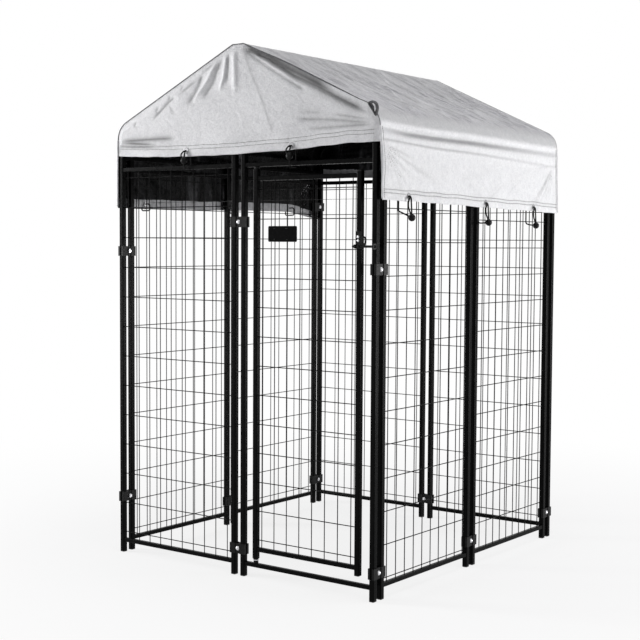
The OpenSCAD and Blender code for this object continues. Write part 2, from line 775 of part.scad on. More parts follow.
// Half of the roof's cross-section at an offset from the rafter axis: ridge 0, eave half_across
function half_section(h, off) = let (
    slope_top = [ridge_flat/2 + off*tan(roof_pitch/2), flat_z + off],
    slope_low = [bend_x, bend_z] + (eave_r + off)*[cos(bend), sin(bend)],
    t = (h - 1)/slope_steps,
    a = bend*(half_across - h)/arc_steps)
    h == 0 ? [0, flat_z + off] :
    h <= slope_steps + 1 ? slope_top*(1 - t) + slope_low*t :
    [bend_x, bend_z] + (eave_r + off)*[cos(a), sin(a)];
function section(i, off) = let (p = half_section(abs(i - half_across), off))
    [i < half_across ? -p[0] : p[0], p[1]];

// Place along the ridge of one station
function station_y(j, off) = (2*j/along - 1)*(gable_y + off - cover_in);
function gable_hem(x, s) = end_post_h - (s < 0 ? front_hem_drop : back_hem_drop)
    + gable_hem_rise*pow(x/half_x, 2);
function skirt_hem(y, s) = skirt_hem_z - (s < 0 ? left_fall : right_fall)*y/gable_y;
function flare(y, s) = let (f = s < 0 ? left_flare : right_flare) f[0] + (f[1] - f[0])*(y/gable_y + 1)/2;
// Fold of a skirt at one place along it, growing towards the hem
function fold(y, t) = skirt_fold*(1 - t)*pow(sin(180*skirt_folds*(y/gable_y + 1)/2), 2);
function skirt_x(y, s, t, off) = bend_x + eave_r + off + flare(y, s)*(1 - t) + fold(y, t);

// Point of the hanging wall on column q of the rim, at a share t of its drop
function wall_point(q, t, off) = let (
    i = q <= across ? q : q <= across + along ? across : q <= 2*across + along ? 2*across + along - q : 0,
    j = q <= across ? 0 : q <= across + along ? q - across : q <= 2*across + along ? along : ring - q,
    p = section(i, off),
    on_side = i == 0 || i == across,
    y = station_y(j, off),
    hem = on_side ? skirt_hem(y, sign(p[0])) : gable_hem(p[0], sign(y)))
    [on_side ? sign(p[0])*skirt_x(y, sign(p[0]), t, off) : p[0], y, hem + (p[1] - hem)*t];

// Point inside the roof, sagging between the rafters
function roof_point(i, j, off) = let (
    p = section(i, off),
    h = abs(i - half_across)/half_across)
    [p[0], station_y(j, off), p[1] - roof_sag*sin(180*j/along)*pow(sin(180*h), 2)];

function cover_layer(off) = concat(
    [for (d = [0:drops], q = [0:ring - 1]) wall_point(q, d/drops, off)],
    [for (i = [1:across - 1], j = [1:along - 1]) roof_point(i, j, off)]);

// Index of a roof point: on the rim it is shared with the wall
function roof_index(i, j) =
    j == 0 ? rings - ring + i :
    i == across ? rings - ring + across + j :
    j == along ? rings - ring + 2*across + along - i :
    i == 0 ? rings - j :
    rings + (i - 1)*(along - 1) + j - 1;

function quad(a, b, c, d, flip) = flip ? [[a, b, c], [a, c, d]] : [[c, b, a], [d, c, a]];
function layer_faces(base, flip) = concat(
    [for (d = [0:drops - 1], q = [0:ring - 1], f = let (n = (q + 1) % ring, low = base + d*ring)
        quad(low + q, low + n, low + ring + n, low + ring + q, flip)) f],
    [for (i = [0:across - 1], j = [0:along - 1], f = quad(
        base + roof_index(i, j), base + roof_index(i + 1, j),
        base + roof_index(i + 1, j + 1), base + roof_index(i, j + 1), flip)) f]);
function hem_faces() = [for (q = [0:ring - 1], f = let (n = (q + 1) % ring)
    quad(q, n, layer + n, layer + q, false)) f];

// Sewn cover: roof, gables and skirts in one sheet, with an eyelet hole at each tie
module roof_cover() {
    color("#c9cacc") difference() {
        polyhedron(concat(cover_layer(cover_off), cover_layer(cover_in)),
            concat(layer_faces(0, true), layer_faces(layer, false), hem_faces()));
        at_ties() rotate([0, 90, 0]) cylinder(d = eyelet_hole_d, h = 40, center = true);
    }
}

// Ties as [place, turn, eyelet]: each is drawn in its own frame, with X outwards from the eyelet
function gable_out() = gable_y + cover_t;
function gable_eyelet_z(x, s) = gable_hem(x, s) + gable_eyelet;
function skirt_eyelet_z(y, s) = skirt_hem(y, s) + skirt_eyelet;
function skirt_out(y, s) = skirt_x(y, s, skirt_eyelet/(bend_z - skirt_hem(y, s)), cover_off);
function skirt_lean(y, s) = atan(flare(y, s)/(bend_z - skirt_hem(y, s)));

module at_gable_tie(x, s) {
    translate([x, s*gable_out(), gable_eyelet_z(x, s)]) rotate([0, 0, 90*s]) children();
}

module at_skirt_tie(y, s) {
    translate([s*skirt_out(y, s), y, skirt_eyelet_z(y, s)]) rotate([0, 0, s < 0 ? 180 : 0]) children();
}

// Moves a tie off the nearest column of the grid that its cord goes through
function off_cols(v, pitch) = let (
    mid = sign(v)*(joint_w + panel_w)/2,
    half = (fitting(panel_w - 2*col_edge, pitch) - 1)*pitch/2,
    col = mid - half + pitch*round((v - mid + half)/pitch),
    gap = cord_r + wire_d/2 + 2)
    abs(v - col) < gap ? col + (v < col ? -gap : gap) : v;
GABLE_TIES = [for (x = gable_tie_x, s = [-1, 1]) [off_cols(x, col_pitch), s]];
SKIRT_TIES = [for (y = skirt_tie_y, s = [-1, 1])
    [off_cols(y, s > 0 && y > 0 ? right_back_col_pitch : col_pitch), s]];

module at_ties() {
    for (t = GABLE_TIES) at_gable_tie(t[0], t[1]) children();
    for (t = SKIRT_TIES) at_skirt_tie(t[0], t[1]) children();
}

// Eyelet with a flange on each side of the sheet; lean tilts it to the sheet
module eyelet(lean) {
    bore = eyelet_d/2;
    rim = bore + 1;
    inside = -cover_t - 2*loose;
    rotate([0, 90 + lean, 0]) rotate_extrude() polygon([[bore, inside - flange_t],
        [0.8*eyelet_flange_d/2, inside - flange_t], [0.8*eyelet_flange_d/2, inside], [rim, inside],
        [rim, loose], [eyelet_flange_d/2, loose], [eyelet_flange_d/2 - 1, loose + flange_t],
        [bore, loose + flange_t]]);
}

module cover_grommets() {
    color("#b4b5b7") {
        for (t = GABLE_TIES) at_gable_tie(t[0], t[1]) eyelet(0);
        for (t = SKIRT_TIES) at_skirt_tie(t[0], t[1]) eyelet(-skirt_lean(t[0], t[1]));
    }
}

// Corners of a tie's route, outwards and up from its eyelet, from the ball and back to the ball
cord_out = loose + flange_t + cord_r + cord_bend;
function gable_route(x, s) = let (
    rail = rail_top_z - gable_eyelet_z(x, s),
    in = -(gable_out() - half_y) - rail_w/2 - cord_gap,
    front = -(gable_out() - half_y) + rail_w/2 + cord_gap,
    under = rail - rail_w/2 - cord_gap,
    ball = [cord_out, max(-gable_eyelet - gable_ball_drop, under + 2*ball_r)])
    [ball, [cord_out, 0], [in, 0], [in, under], [front + cord_bend, under], ball];
function row_below(first, pitch) = first + pitch*floor((skirt_hem_z - first)/pitch);
function skirt_row(y, s) = s < 0 ? row_below(row_first, row_pitch) :
    y < 0 ? row_below(right_front_row_first, row_pitch) :
    row_below(right_back_row_first, right_back_row_pitch);
// On the right the ball hangs under its eyelet, on the left the cord holds it against the eyelet
function skirt_route(y, s) = let (
    mesh = half_x - skirt_out(y, s),
    in = mesh - wire_d/2 - cord_gap,
    under = skirt_row(y, s) - skirt_eyelet_z(y, s) - wire_d/2 - cord_gap,
    ball = [cord_out, -skirt_eyelet - skirt_ball_drop],
    taut = [taut_ball_out, 0])
    s < 0 ? [taut, [in, 0], [in, under], [taut_ball_out, under], taut] :
    [ball, [cord_out, 0], [in, 0], [in, under], [mesh + 2*cord_bend, ball[1]], ball];

// Rounded route: each corner becomes three points; the ends stop short of the ball's middle
function unit(v) = v/norm(v);
function towards(a, b, d) = a + unit(b - a)*min(d, norm(b - a)/2.2);
function rounded(r) = let (last = len(r) - 1) concat(
    [towards(r[0], r[1], 4)],
    [for (k = [1:last - 1], p = let (
        a = towards(r[k], r[k - 1], cord_bend),
        b = towards(r[k], r[k + 1], cord_bend))
        [a, (a + b)/4 + r[k]/2, b]) p],
    [towards(r[last], r[last - 1], 4)]);

// Cord with flat sides swept along a route in the XZ plane
module cord(route) {
    path = rounded(route);
    n = len(path);
    dirs = [for (k = [0:n - 1]) unit(path[min(k + 1, n - 1)] - path[max(k - 1, 0)])];
    points = [for (k = [0:n - 1], s = [0:cord_sides - 1]) let (
        a = 360*s/cord_sides,
        side = [-dirs[k][1], dirs[k][0]]*cord_r*cos(a))
        [path[k][0] + side[0], cord_r*sin(a), path[k][1] + side[1]]];
    end = (n - 1)*cord_sides;
    walls = [for (k = [0:n - 2], s = [0:cord_sides - 1], f = let (
        t = (s + 1) % cord_sides,
        low = k*cord_sides)
        quad(low + s, low + t, low + cord_sides + t, low + cord_sides + s, true)) f];
    caps = [for (s = [1:cord_sides - 2], f = [[0, s + 1, s], [end, end + s, end + s + 1]]) f];
    polyhedron(points, concat(walls, caps));
}

module bungee_cords() {
    color("#141414") {
        for (t = GABLE_TIES) at_gable_tie(t[0], t[1]) cord(gable_route(t[0], t[1]));
        for (t = SKIRT_TIES) at_skirt_tie(t[0], t[1]) cord(skirt_route(t[0], t[1]));
    }
}

// Ball with a blind hole for each end of its cord
module ball(route) {
    last = len(route) - 1;
    translate([route[0][0], 0, route[0][1]]) difference() {
        rotate([0, 0, 90]) sphere(r = ball_r);
        for (p = [route[1] - route[0], route[last - 1] - route[last]])
            rotate([0, atan2(p[0], p[1]), 0]) translate([0, 0, 3]) cylinder(r = cord_r + loose, h = ball_r);
    }
}

module bungee_balls() {
    color("#141414") {
        for (t = GABLE_TIES) at_gable_tie(t[0], t[1]) ball(gable_route(t[0], t[1]));
        for (t = SKIRT_TIES) at_skirt_tie(t[0], t[1]) ball(skirt_route(t[0], t[1]));
    }
}

end_frame(FRONT_LEFT, [-half_x, -half_y]);  // front_left_frame
gate_panel_frame();
panel_frame(RIGHT_FRONT);  // right_front_frame
panel_frame(RIGHT_BACK);  // right_back_frame
end_frame(BACK_RIGHT, [half_x, half_y]);  // back_right_frame
end_frame(BACK_LEFT, [-half_x, half_y]);  // back_left_frame
panel_frame(LEFT_BACK);  // left_back_frame
panel_frame(LEFT_FRONT);  // left_front_frame
panel_mesh(FRONT_LEFT);  // front_left_mesh
panel_mesh(RIGHT_FRONT);  // right_front_mesh
panel_mesh(RIGHT_BACK);  // right_back_mesh
panel_mesh(BACK_RIGHT);  // back_right_mesh
panel_mesh(BACK_LEFT);  // back_left_mesh
panel_mesh(LEFT_BACK);  // left_back_mesh
panel_mesh(LEFT_FRONT);  // left_front_mesh
foot_plugs();
post_top_plugs();
gate_frame();
gate_mesh();
gate_stile_plugs();
hinge_pin_top();
hinge_pin_bottom();
hinge_bush_top();
hinge_bush_bottom();
hinge_washer();
latch_housing();
latch_bolt();
latch_rivets();
latch_keeper();
sign_plate();
sign_ties();
clamp_outer_plates();
clamp_inner_plates();
clamp_bolts();
clamp_nuts();
place_rafter(-1, -1);  // rafter_front_left
place_rafter(1, -1);  // rafter_front_right
place_rafter(-1, 1);  // rafter_back_left
place_rafter(1, 1);  // rafter_back_right
place_connector(-1);  // ridge_connector_front
place_connector(1);  // ridge_connector_back
ridge_pole();
eave_purlin(-1);  // eave_purlin_left
eave_purlin(1);  // eave_purlin_right
purlin_screws();
roof_cover();
cover_grommets();
bungee_cords();
bungee_balls();
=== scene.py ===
import bpy
import json
import math
import numpy as np
from mathutils import Matrix, Vector

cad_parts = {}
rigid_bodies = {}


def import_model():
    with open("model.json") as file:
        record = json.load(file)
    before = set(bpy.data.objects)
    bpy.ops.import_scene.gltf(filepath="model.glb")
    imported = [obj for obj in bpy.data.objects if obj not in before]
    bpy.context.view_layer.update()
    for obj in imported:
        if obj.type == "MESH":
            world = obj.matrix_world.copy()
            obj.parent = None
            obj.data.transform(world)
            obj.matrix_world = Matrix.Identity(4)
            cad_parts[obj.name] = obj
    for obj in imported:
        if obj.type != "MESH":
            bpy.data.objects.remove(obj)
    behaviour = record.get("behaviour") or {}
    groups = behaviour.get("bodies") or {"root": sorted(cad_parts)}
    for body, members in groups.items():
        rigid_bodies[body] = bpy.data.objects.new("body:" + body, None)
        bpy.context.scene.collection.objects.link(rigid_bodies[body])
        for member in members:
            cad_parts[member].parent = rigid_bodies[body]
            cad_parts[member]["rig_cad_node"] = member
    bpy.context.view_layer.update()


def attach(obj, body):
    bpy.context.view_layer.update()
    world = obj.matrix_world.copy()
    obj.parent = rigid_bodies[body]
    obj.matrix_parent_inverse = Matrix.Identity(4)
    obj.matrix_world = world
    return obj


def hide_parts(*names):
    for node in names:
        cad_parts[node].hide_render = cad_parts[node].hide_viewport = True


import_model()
MM = 0.001

# Sizes repeated from the CAD, in millimetres; sides and ends are told apart by the sign of X or Y
HALF_X, HALF_Y = 565.0, 607.0
FLAT_Z, FLAT, PITCH, EAVE_R = 1816.85, 44.0, 25.0, 60.0
COVER_IN, COVER_T = 10.15, 2.0
BEND_X, BEND_Z = 505.0, 1525.42
GABLE_Y = 617.0
SKIRT_HEM, SKIRT_FOLD, SKIRT_FOLDS = 1285.0, 4.0, 3
SKIRT_FALL = {-1: -5.0, 1: 9.0}
SKIRT_FLARE = {-1: (2.0, 6.0), 1: (25.0, 6.0)}
GABLE_HEM = {-1: 1457.0, 1: 1435.0}
HEM_RISE, SAG = 14.0, 7.0
TIE_X, TIE_Y, EYELET_UP = (-238.0, 233.0), (-472.0, 40.0, 408.0), 17.0
CORD_OUT, CORD_R, GAP, BALL_R, TAUT_OUT = 12.0, 2.5, 4.0, 12.0, 18.0
DROP_GABLE, DROP_SKIRT = -35.0, -70.0
TOP_RAIL_Z, RAIL_GAP = 1419.0, 12.5
ROW_LEFT, ROW_RIGHT_FRONT, ROW_RIGHT_BACK = 1280.3, 1268.3, 1240.6

# The cloth lies in the middle of the CAD's thickness
MID = COVER_IN + COVER_T / 2
COVER_OFF = COVER_IN + COVER_T
GABLE_MID = GABLE_Y + COVER_T / 2
CLOTH_T = 0.9
TAN, COS = (f(math.radians(PITCH)) for f in (math.tan, math.cos))


def cad_gable_hem(x, end):
    return GABLE_HEM[end] + HEM_RISE * (x / HALF_X) ** 2


def cad_skirt_hem(y, side):
    return SKIRT_HEM - SKIRT_FALL[side] * y / GABLE_Y


def cad_skirt_x(y, side, t, off):
    """Distance of a skirt from the middle, t from its hem to the eave."""
    f0, f1 = SKIRT_FLARE[side]
    along = (y / GABLE_Y + 1) / 2
    fold = SKIRT_FOLD * np.sin(math.pi * SKIRT_FOLDS * along) ** 2
    return HALF_X + off + (f0 + (f1 - f0) * along + fold) * (1 - t)


def eyelet_t(y, side):
    return EYELET_UP / (BEND_Z - cad_skirt_hem(y, side))


def eyelets(off_gable, off_skirt):
    """Place, outward direction, end or side and position of every eyelet."""
    for x in TIE_X:
        for end in (-1, 1):
            place = (x, end * (GABLE_Y + off_gable), cad_gable_hem(x, end) + EYELET_UP)
            yield np.array(place), np.array((0.0, end, 0.0)), end, x
    for y in TIE_Y:
        for side in (-1, 1):
            out = float(cad_skirt_x(y, side, eyelet_t(y, side), off_skirt))
            place = (side * out, y, cad_skirt_hem(y, side) + EYELET_UP)
            yield np.array(place), np.array((side, 0.0, 0.0)), side, y


# Camera at the photograph's view: turn in degrees, place in metres, focal length in pixels
YAW_PITCH_ROLL = (-36.828, -3.359, 0.326)
CAMERA_AT = (2.9212, -4.0462, 1.1550)
FOCAL_PX, IMAGE_PX, SENSOR = 1309.63, 640, 36


def make_camera():
    yaw, pitch, roll = (math.radians(a) for a in YAW_PITCH_ROLL)
    d = Vector((math.sin(yaw) * math.cos(pitch), math.cos(yaw) * math.cos(pitch), math.sin(pitch)))
    r = Vector((math.cos(yaw), -math.sin(yaw), 0))
    u = r.cross(d)
    right = r * math.cos(roll) + u * math.sin(roll)
    up = u * math.cos(roll) - r * math.sin(roll)
    data = bpy.data.cameras.new("camera")
    data.sensor_width = SENSOR
    data.lens = FOCAL_PX / IMAGE_PX * SENSOR
    data.clip_end = 100
    cam = bpy.data.objects.new("camera", data)
    bpy.context.scene.collection.objects.link(cam)
    rows = Matrix((right, up, -d)).transposed().to_4x4()
    cam.matrix_world = Matrix.Translation(CAMERA_AT) @ rows
    bpy.context.scene.camera = cam


# Materials
def combine(tree, operation, a, b):
    """Result of a Math node on two sockets."""
    n = tree.nodes.new("ShaderNodeMath")
    n.operation = operation
    tree.links.new(a, n.inputs[0])
    tree.links.new(b, n.inputs[1])
    return n.outputs["Value"]


# Most values of a noise lie between these
NOISE_LOW, NOISE_HIGH = 0.25, 0.75


class Nodes:
    """One new material and the nodes it is made of."""

    def __init__(self, name):
        self.mat = bpy.data.materials.new(name)
        self.mat.use_nodes = True
        self.tree = self.mat.node_tree
        self.bsdf = self.tree.nodes["Principled BSDF"]
        self.coord = self.add("ShaderNodeTexCoord")

    def add(self, kind, **values):
        n = self.tree.nodes.new(kind)
        for k, v in values.items():
            setattr(n, k, v)
        return n

    def link(self, a, b):
        self.tree.links.new(a, b)

    def mapped(self, scale=(1, 1, 1), turn=(0, 0, 0)):
        m = self.add("ShaderNodeMapping")
        m.inputs["Scale"].default_value = scale
        m.inputs["Rotation"].default_value = turn
        self.link(self.coord.outputs["Object"], m.inputs["Vector"])
        return m.outputs["Vector"]

    def noise(self, scale, detail=2.0, rough=0.5, vector=None, distortion=0.0):
        n = self.add("ShaderNodeTexNoise")
        n.inputs["Scale"].default_value = scale
        n.inputs["Detail"].default_value = detail
        n.inputs["Roughness"].default_value = rough
        n.inputs["Distortion"].default_value = distortion
        self.link(vector or self.coord.outputs["Object"], n.inputs["Vector"])
        return n.outputs["Fac"]

    def ramp(self, fac, stops):
        n = self.add("ShaderNodeValToRGB")
        e = n.color_ramp.elements
        while len(e) < len(stops):
            e.new(0.5)
        for el, (pos, c) in zip(e, stops):
            el.position = pos
            el.color = (*c, 1)
        self.link(fac, n.inputs["Fac"])
        return n.outputs["Color"]

    def spread(self, fac, lo, hi):
        n = self.add("ShaderNodeMapRange")
        n.inputs["From Min"].default_value = NOISE_LOW
        n.inputs["From Max"].default_value = NOISE_HIGH
        n.inputs["To Min"].default_value = lo
        n.inputs["To Max"].default_value = hi
        self.link(fac, n.inputs["Value"])
        return n.outputs["Result"]

    def times(self, a, b, share=1.0):
        n = self.add("ShaderNodeMix", data_type="RGBA", blend_type="MULTIPLY")
        if hasattr(share, "node"):
            self.link(share, n.inputs["Factor"])
        else:
            n.inputs["Factor"].default_value = share
        self.link(a, n.inputs["A"])
        self.link(b, n.inputs["B"])
        return n.outputs["Result"]

    def bump(self, height, strength, distance, below=None):
        n = self.add("ShaderNodeBump")
        if hasattr(strength, "node"):
            self.link(strength, n.inputs["Strength"])
        else:
            n.inputs["Strength"].default_value = strength
        n.inputs["Distance"].default_value = distance
        self.link(height, n.inputs["Height"])
        if below is not None:
            self.link(below, n.inputs["Normal"])
        return n.outputs["Normal"]

    def done(self, color, rough, normal, metallic=0.0, specular=0.5):
        b = self.bsdf
        self.link(color, b.inputs["Base Color"])
        self.link(rough, b.inputs["Roughness"])
        self.link(normal, b.inputs["Normal"])
        b.inputs["Metallic"].default_value = metallic
        b.inputs["Specular IOR Level"].default_value = specular
        return self.mat


def grey(v, tint=(1.0, 1.0, 1.03)):
    return tuple(v * t for t in tint)


def powder_coat(name, dark, light, rough, specular):
    m = Nodes(name)
    color = m.ramp(m.noise(38, 4, 0.6), [(0.3, grey(dark)), (0.75, grey(light))])
    r = m.spread(m.noise(160, 3, 0.6), rough - 0.06, rough + 0.08)
    peel = m.bump(m.noise(950, 2, 0.5), 0.18, 0.0004)
    return m.done(color, r, m.bump(m.noise(120, 2, 0.5), 0.08, 0.0006, peel), specular=specular)


def plastic(name, dark, light, rough, grain, specular):
    m = Nodes(name)
    color = m.ramp(m.noise(70, 3, 0.6), [(0.3, grey(dark)), (0.75, grey(light))])
    r = m.spread(m.noise(220, 2, 0.5), rough - 0.05, rough + 0.1)
    return m.done(color, r, m.bump(m.noise(grain, 2, 0.6), 0.3, 0.0003), specular=specular)


def zinc(name, level=1.0):
    m = Nodes(name)
    stops = [(at, grey(level * v)) for at, v in ((0.25, 0.40), (0.55, 0.62), (0.8, 0.53))]
    color = m.ramp(m.noise(300, 4, 0.65), stops)
    r = m.spread(m.noise(420, 3, 0.6), 0.22, 0.42)
    return m.done(color, r, m.bump(m.noise(700, 2, 0.5), 0.15, 0.0003), metallic=0.9)


# Places on a ramp and colours there: specks of the coating, painted shade and highlights on the folds of a
# black sheet, painted shade in the creases of a slope
SPECKS = [(0.36, (0.80, 0.80, 0.81)), (0.58, (1.0, 1.0, 1.0))]
FOLD_LIGHT_AND_SHADE = [(0.47, (0.02, 0.02, 0.02)), (0.58, (0.16, 0.16, 0.16)), (0.72, (1.0, 1.0, 1.0))]
SLOPE_CREASE_SHADE = [(0.37, (0.52, 0.51, 0.56)), (0.455, (0.86, 0.85, 0.89)), (0.55, (1.0, 0.99, 1.0))]


def cloth(name, stops, rough, crease, specular=0.35, metallic=0.0, painted=None, painted_folds=False):
    """Coated woven sheet: tape weave, mottled coating and fine creases.

    The painted attribute holds painted shade and painted highlights in red and the share of painted shade
    along the slope creases in green.
    With painted folds the sheet is painted dark, with painted highlights on the upright folds that catch the
    light."""
    m = Nodes(name)
    color = m.ramp(m.noise(55, 5, 0.65), stops)
    color = m.times(color, m.ramp(m.noise(190, 4, 0.75), SPECKS), 0.8)
    if painted_folds:
        # Painted shade between the folds and painted highlights on the upright folds
        folds = m.noise(1.0, 3, 0.6, m.mapped((13, 13, 3.2)), 0.6)
        color = m.times(color, m.ramp(folds, FOLD_LIGHT_AND_SHADE))
    weave = m.add("ShaderNodeTexVoronoi", feature="F1", distance="CHEBYCHEV")
    weave.inputs["Scale"].default_value = 520
    weave.inputs["Randomness"].default_value = 0.25
    m.link(m.coord.outputs["Object"], weave.inputs["Vector"])
    n = m.bump(weave.outputs["Distance"], 0.2, 0.0004)
    coarse = m.noise(24, 6, 0.62, m.mapped((1.0, 2.2, 1.6), (0.3, 0.2, 0.6)), 0.8)
    n = m.bump(coarse, crease, 0.006, n)
    fine = m.noise(230, 4, 0.65, m.mapped((1.0, 1.0, 0.55), (0.0, 0.5, 0.0)))
    n = m.bump(fine, 0.9 * crease, 0.003, n)
    if painted:
        a = m.add("ShaderNodeAttribute", attribute_name=painted)
        parts = m.add("ShaderNodeSeparateColor")
        m.link(a.outputs["Color"], parts.inputs["Color"])
        shade = m.add("ShaderNodeCombineColor")
        for channel in ("Red", "Green", "Blue"):
            m.link(parts.outputs["Red"], shade.inputs[channel])
        color = m.times(color, shade.outputs["Color"])
        # Painted shade along the slope creases, in the share held in green; the same lines also bump the
        # cloth
        lines = m.noise(1.0, 4, 0.68, m.mapped((7, 52, 7), (0.0, 0.0, 0.12)), 1.4)
        dark = m.ramp(lines, SLOPE_CREASE_SHADE)
        patches = m.spread(m.noise(4.5, 2, 0.5, m.mapped((1.0, 1.6, 1.0))), 0.25, 1.0)
        share = combine(m.tree, "MULTIPLY", parts.outputs["Green"], patches)
        color = m.times(color, dark, share)
        n = m.bump(lines, share, 0.013, n)
    r = m.spread(m.noise(90, 3, 0.6), rough - 0.08, rough + 0.08)
    return m.done(color, r, n, metallic=metallic, specular=specular)


def thread(name, c):
    m = Nodes(name)
    color = m.ramp(m.noise(900, 2, 0.5), [(0.3, grey(c * 0.7)), (0.7, grey(c * 1.2))])
    r = m.spread(m.noise(500, 2, 0.5), 0.6, 0.8)
    return m.done(color, r, m.bump(m.noise(1400, 1, 0.5), 0.4, 0.0003), specular=0.3)


def braid(name):
    m = Nodes(name)
    w = m.add("ShaderNodeTexWave", wave_type="BANDS", bands_direction="DIAGONAL")
    w.inputs["Scale"].default_value = 190
    w.inputs["Distortion"].default_value = 1.5
    m.link(m.coord.outputs["Object"], w.inputs["Vector"])
    color = m.ramp(w.outputs["Fac"], [(0.2, grey(0.002)), (0.8, grey(0.007))])
    r = m.spread(m.noise(400, 2, 0.5), 0.5, 0.7)
    return m.done(color, r, m.bump(w.outputs["Fac"], 0.5, 0.0006), specular=0.08)


SILVER = [(0.25, (0.595, 0.595, 0.607)), (0.55, (0.66, 0.66, 0.668)), (0.8, (0.70, 0.70, 0.706))]
BLACK_CLOTH = [(0.35, (0.05, 0.05, 0.053)), (0.7, (0.12, 0.12, 0.125))]
HEM_GREY = [(0.3, (0.22, 0.22, 0.228)), (0.75, (0.44, 0.44, 0.45))]
BINDING = [(0.3, (0.05, 0.05, 0.053)), (0.75, (0.12, 0.12, 0.125))]
MATS = {
    "frame": powder_coat("powder_black", 0.001, 0.003, 0.26, 0.035),
    "wire": powder_coat("wire_black", 0.0015, 0.004, 0.34, 0.04),
    "fitting": powder_coat("fitting_black", 0.002, 0.005, 0.34, 0.10),
    "plastic": plastic("moulded_black", 0.002, 0.005, 0.36, 900, 0.12),
    "sign": plastic("sign_black", 0.0015, 0.004, 0.6, 500, 0.015),
    "zinc": zinc("zinc_plate"),
    "eyelet": zinc("dull_zinc", 0.5),
    "cover": cloth("silver_cloth", SILVER, 0.47, 0.45, 0.16, 0.03, "painted_light"),
    "cover_plain": cloth("silver_binding", SILVER, 0.5, 0.3, 0.16),
    "lining": cloth("black_lining", BLACK_CLOTH, 0.30, 1.0, 0.06, painted_folds=True),
    "hem": cloth("hem_back", HEM_GREY, 0.55, 0.4),
    "binding": cloth("seam_binding", BINDING, 0.6, 0.3),
    "thread": thread("grey_thread", 0.05),
    "cord": braid("braided_elastic"),
}

NODE_MATS = {
    "zinc": ("clamp_bolts", "clamp_nuts", "hinge_washer", "latch_rivets", "purlin_screws"),
    "eyelet": ("cover_grommets",),
    "plastic": ("foot_plugs", "post_top_plugs", "gate_stile_plugs", "sign_ties", "bungee_balls"),
    "sign": ("sign_plate",),
    "fitting": ("clamp_outer_plates", "clamp_inner_plates", "latch_housing", "latch_bolt", "latch_keeper",
                "hinge_pin_top", "hinge_pin_bottom", "hinge_bush_top", "hinge_bush_bottom"),
}


def dress_nodes():
    given = {n: k for k, names in NODE_MATS.items() for n in names}
    for obj in bpy.data.objects:
        name = obj.get("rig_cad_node")
        if not name:
            continue
        kind = given.get(name) or ("wire" if name.endswith("_mesh") else "frame")
        if not obj.material_slots:
            obj.data.materials.append(None)
        for s in obj.material_slots:
            s.material = MATS[kind]


def make_object(name, verts, faces, mats, face_mats=None):
    me = bpy.data.meshes.new(name)
    me.from_pydata(np.asarray(verts).tolist(), [], [tuple(f) for f in faces])
    for m in mats:
        me.materials.append(m)
    if face_mats is not None:
        me.polygons.foreach_set("material_index", np.asarray(face_mats, dtype=np.int32))
    me.polygons.foreach_set("use_smooth", np.full(len(me.polygons), True))
    me.update()
    obj = bpy.data.objects.new(name, me)
    bpy.context.scene.collection.objects.link(obj)
    return obj


# Cover: one sheet for the roof and the walls, then its lining.
# Steps of its grid over half the ridge's flat, a slope and an eave's bend; along the roof; down a wall
FLAT_N, SLOPE_N, ARC_N = 3, 136, 14
HALF_N = FLAT_N + SLOPE_N + ARC_N
ACROSS, ALONG, DROPS = 2 * HALF_N, 190, 64
RING = 2 * (ACROSS + ALONG)
GABLE, SKIRT, ROOF = 0, 1, 2


def half_profile():
    """Roof line from the ridge to the eave, in the middle of the cloth."""
    a, r = math.radians(90 - PITCH), EAVE_R + MID
    top = np.array((FLAT / 2 + MID * math.tan(math.radians(PITCH / 2)), FLAT_Z + MID))
    low = np.array((BEND_X + r * math.cos(a), BEND_Z + r * math.sin(a)))
    flat = [(top[0] * h / FLAT_N, top[1]) for h in range(FLAT_N)]
    slope = [top + (low - top) * h / SLOPE_N for h in range(SLOPE_N)]
    arc = [(BEND_X + r * math.cos(b), BEND_Z + r * math.sin(b)) for b in np.linspace(a, 0, ARC_N + 1)]
    return np.array([*flat, *slope, *arc])


HALF = half_profile()
X_AT = np.concatenate([-HALF[:0:-1, 0], HALF[:, 0]])
Z_AT = np.concatenate([HALF[:0:-1, 1], HALF[:, 1]])
Y_AT = np.linspace(-GABLE_MID, GABLE_MID, ALONG + 1)


def bell(x, mid, width):
    return np.exp(-((x - mid) / width) ** 2)


def crest(x, width):
    """Ridge with a crisp top."""
    return np.exp(-(np.sqrt(x * x + 0.09 * width * width) - 0.3 * width) / width)


def step(x, lo, hi):
    t = np.clip((x - lo) / (hi - lo), 0, 1)
    return t * t * (3 - 2 * t)


def waves(u, v, size, seed):
    """Smooth irregular height of about -1 to 1 from seven crossing waves."""
    pick = np.random.default_rng(seed)
    out = 0.0
    for _ in range(7):
        a = pick.uniform(0, math.pi)
        length = size * pick.uniform(0.7, 1.6)
        start = pick.uniform(0, 2 * math.pi)
        out = out + np.sin((u * math.cos(a) + v * math.sin(a)) * 2 * math.pi / length + start)
    return out / 2.8


def creases(u, v, size, seed):
    """Thin irregular ridges, 0 to 1."""
    return (1 - np.minimum(1, 1.8 * np.abs(waves(u, v, size, seed)))) ** 2


def fade_in(along, length):
    return step(along, -0.1 * length, 0.3 * length)


def fade_out(along, length):
    return 1 - step(along, 0.5 * length, length)


def streak(u, v, a, b, width, height):
    """One fold from a to b, fading at both ends."""
    du, dv = b[0] - a[0], b[1] - a[1]
    length = math.hypot(du, dv)
    along = ((u - a[0]) * du + (v - a[1]) * dv) / length
    off = ((v - a[1]) * du - (u - a[0]) * dv) / length
    return height * crest(off, width) * fade_in(along, length) * fade_out(along, length)


# Front hem as the photograph shows it
FRONT_HEM_X = (-592, -420, -243, -120, -33, 100, 227, 350, 463, 592)
FRONT_HEM_Z = (1470, 1461, 1456, 1457, 1456, 1460, 1462, 1469, 1475, 1476)


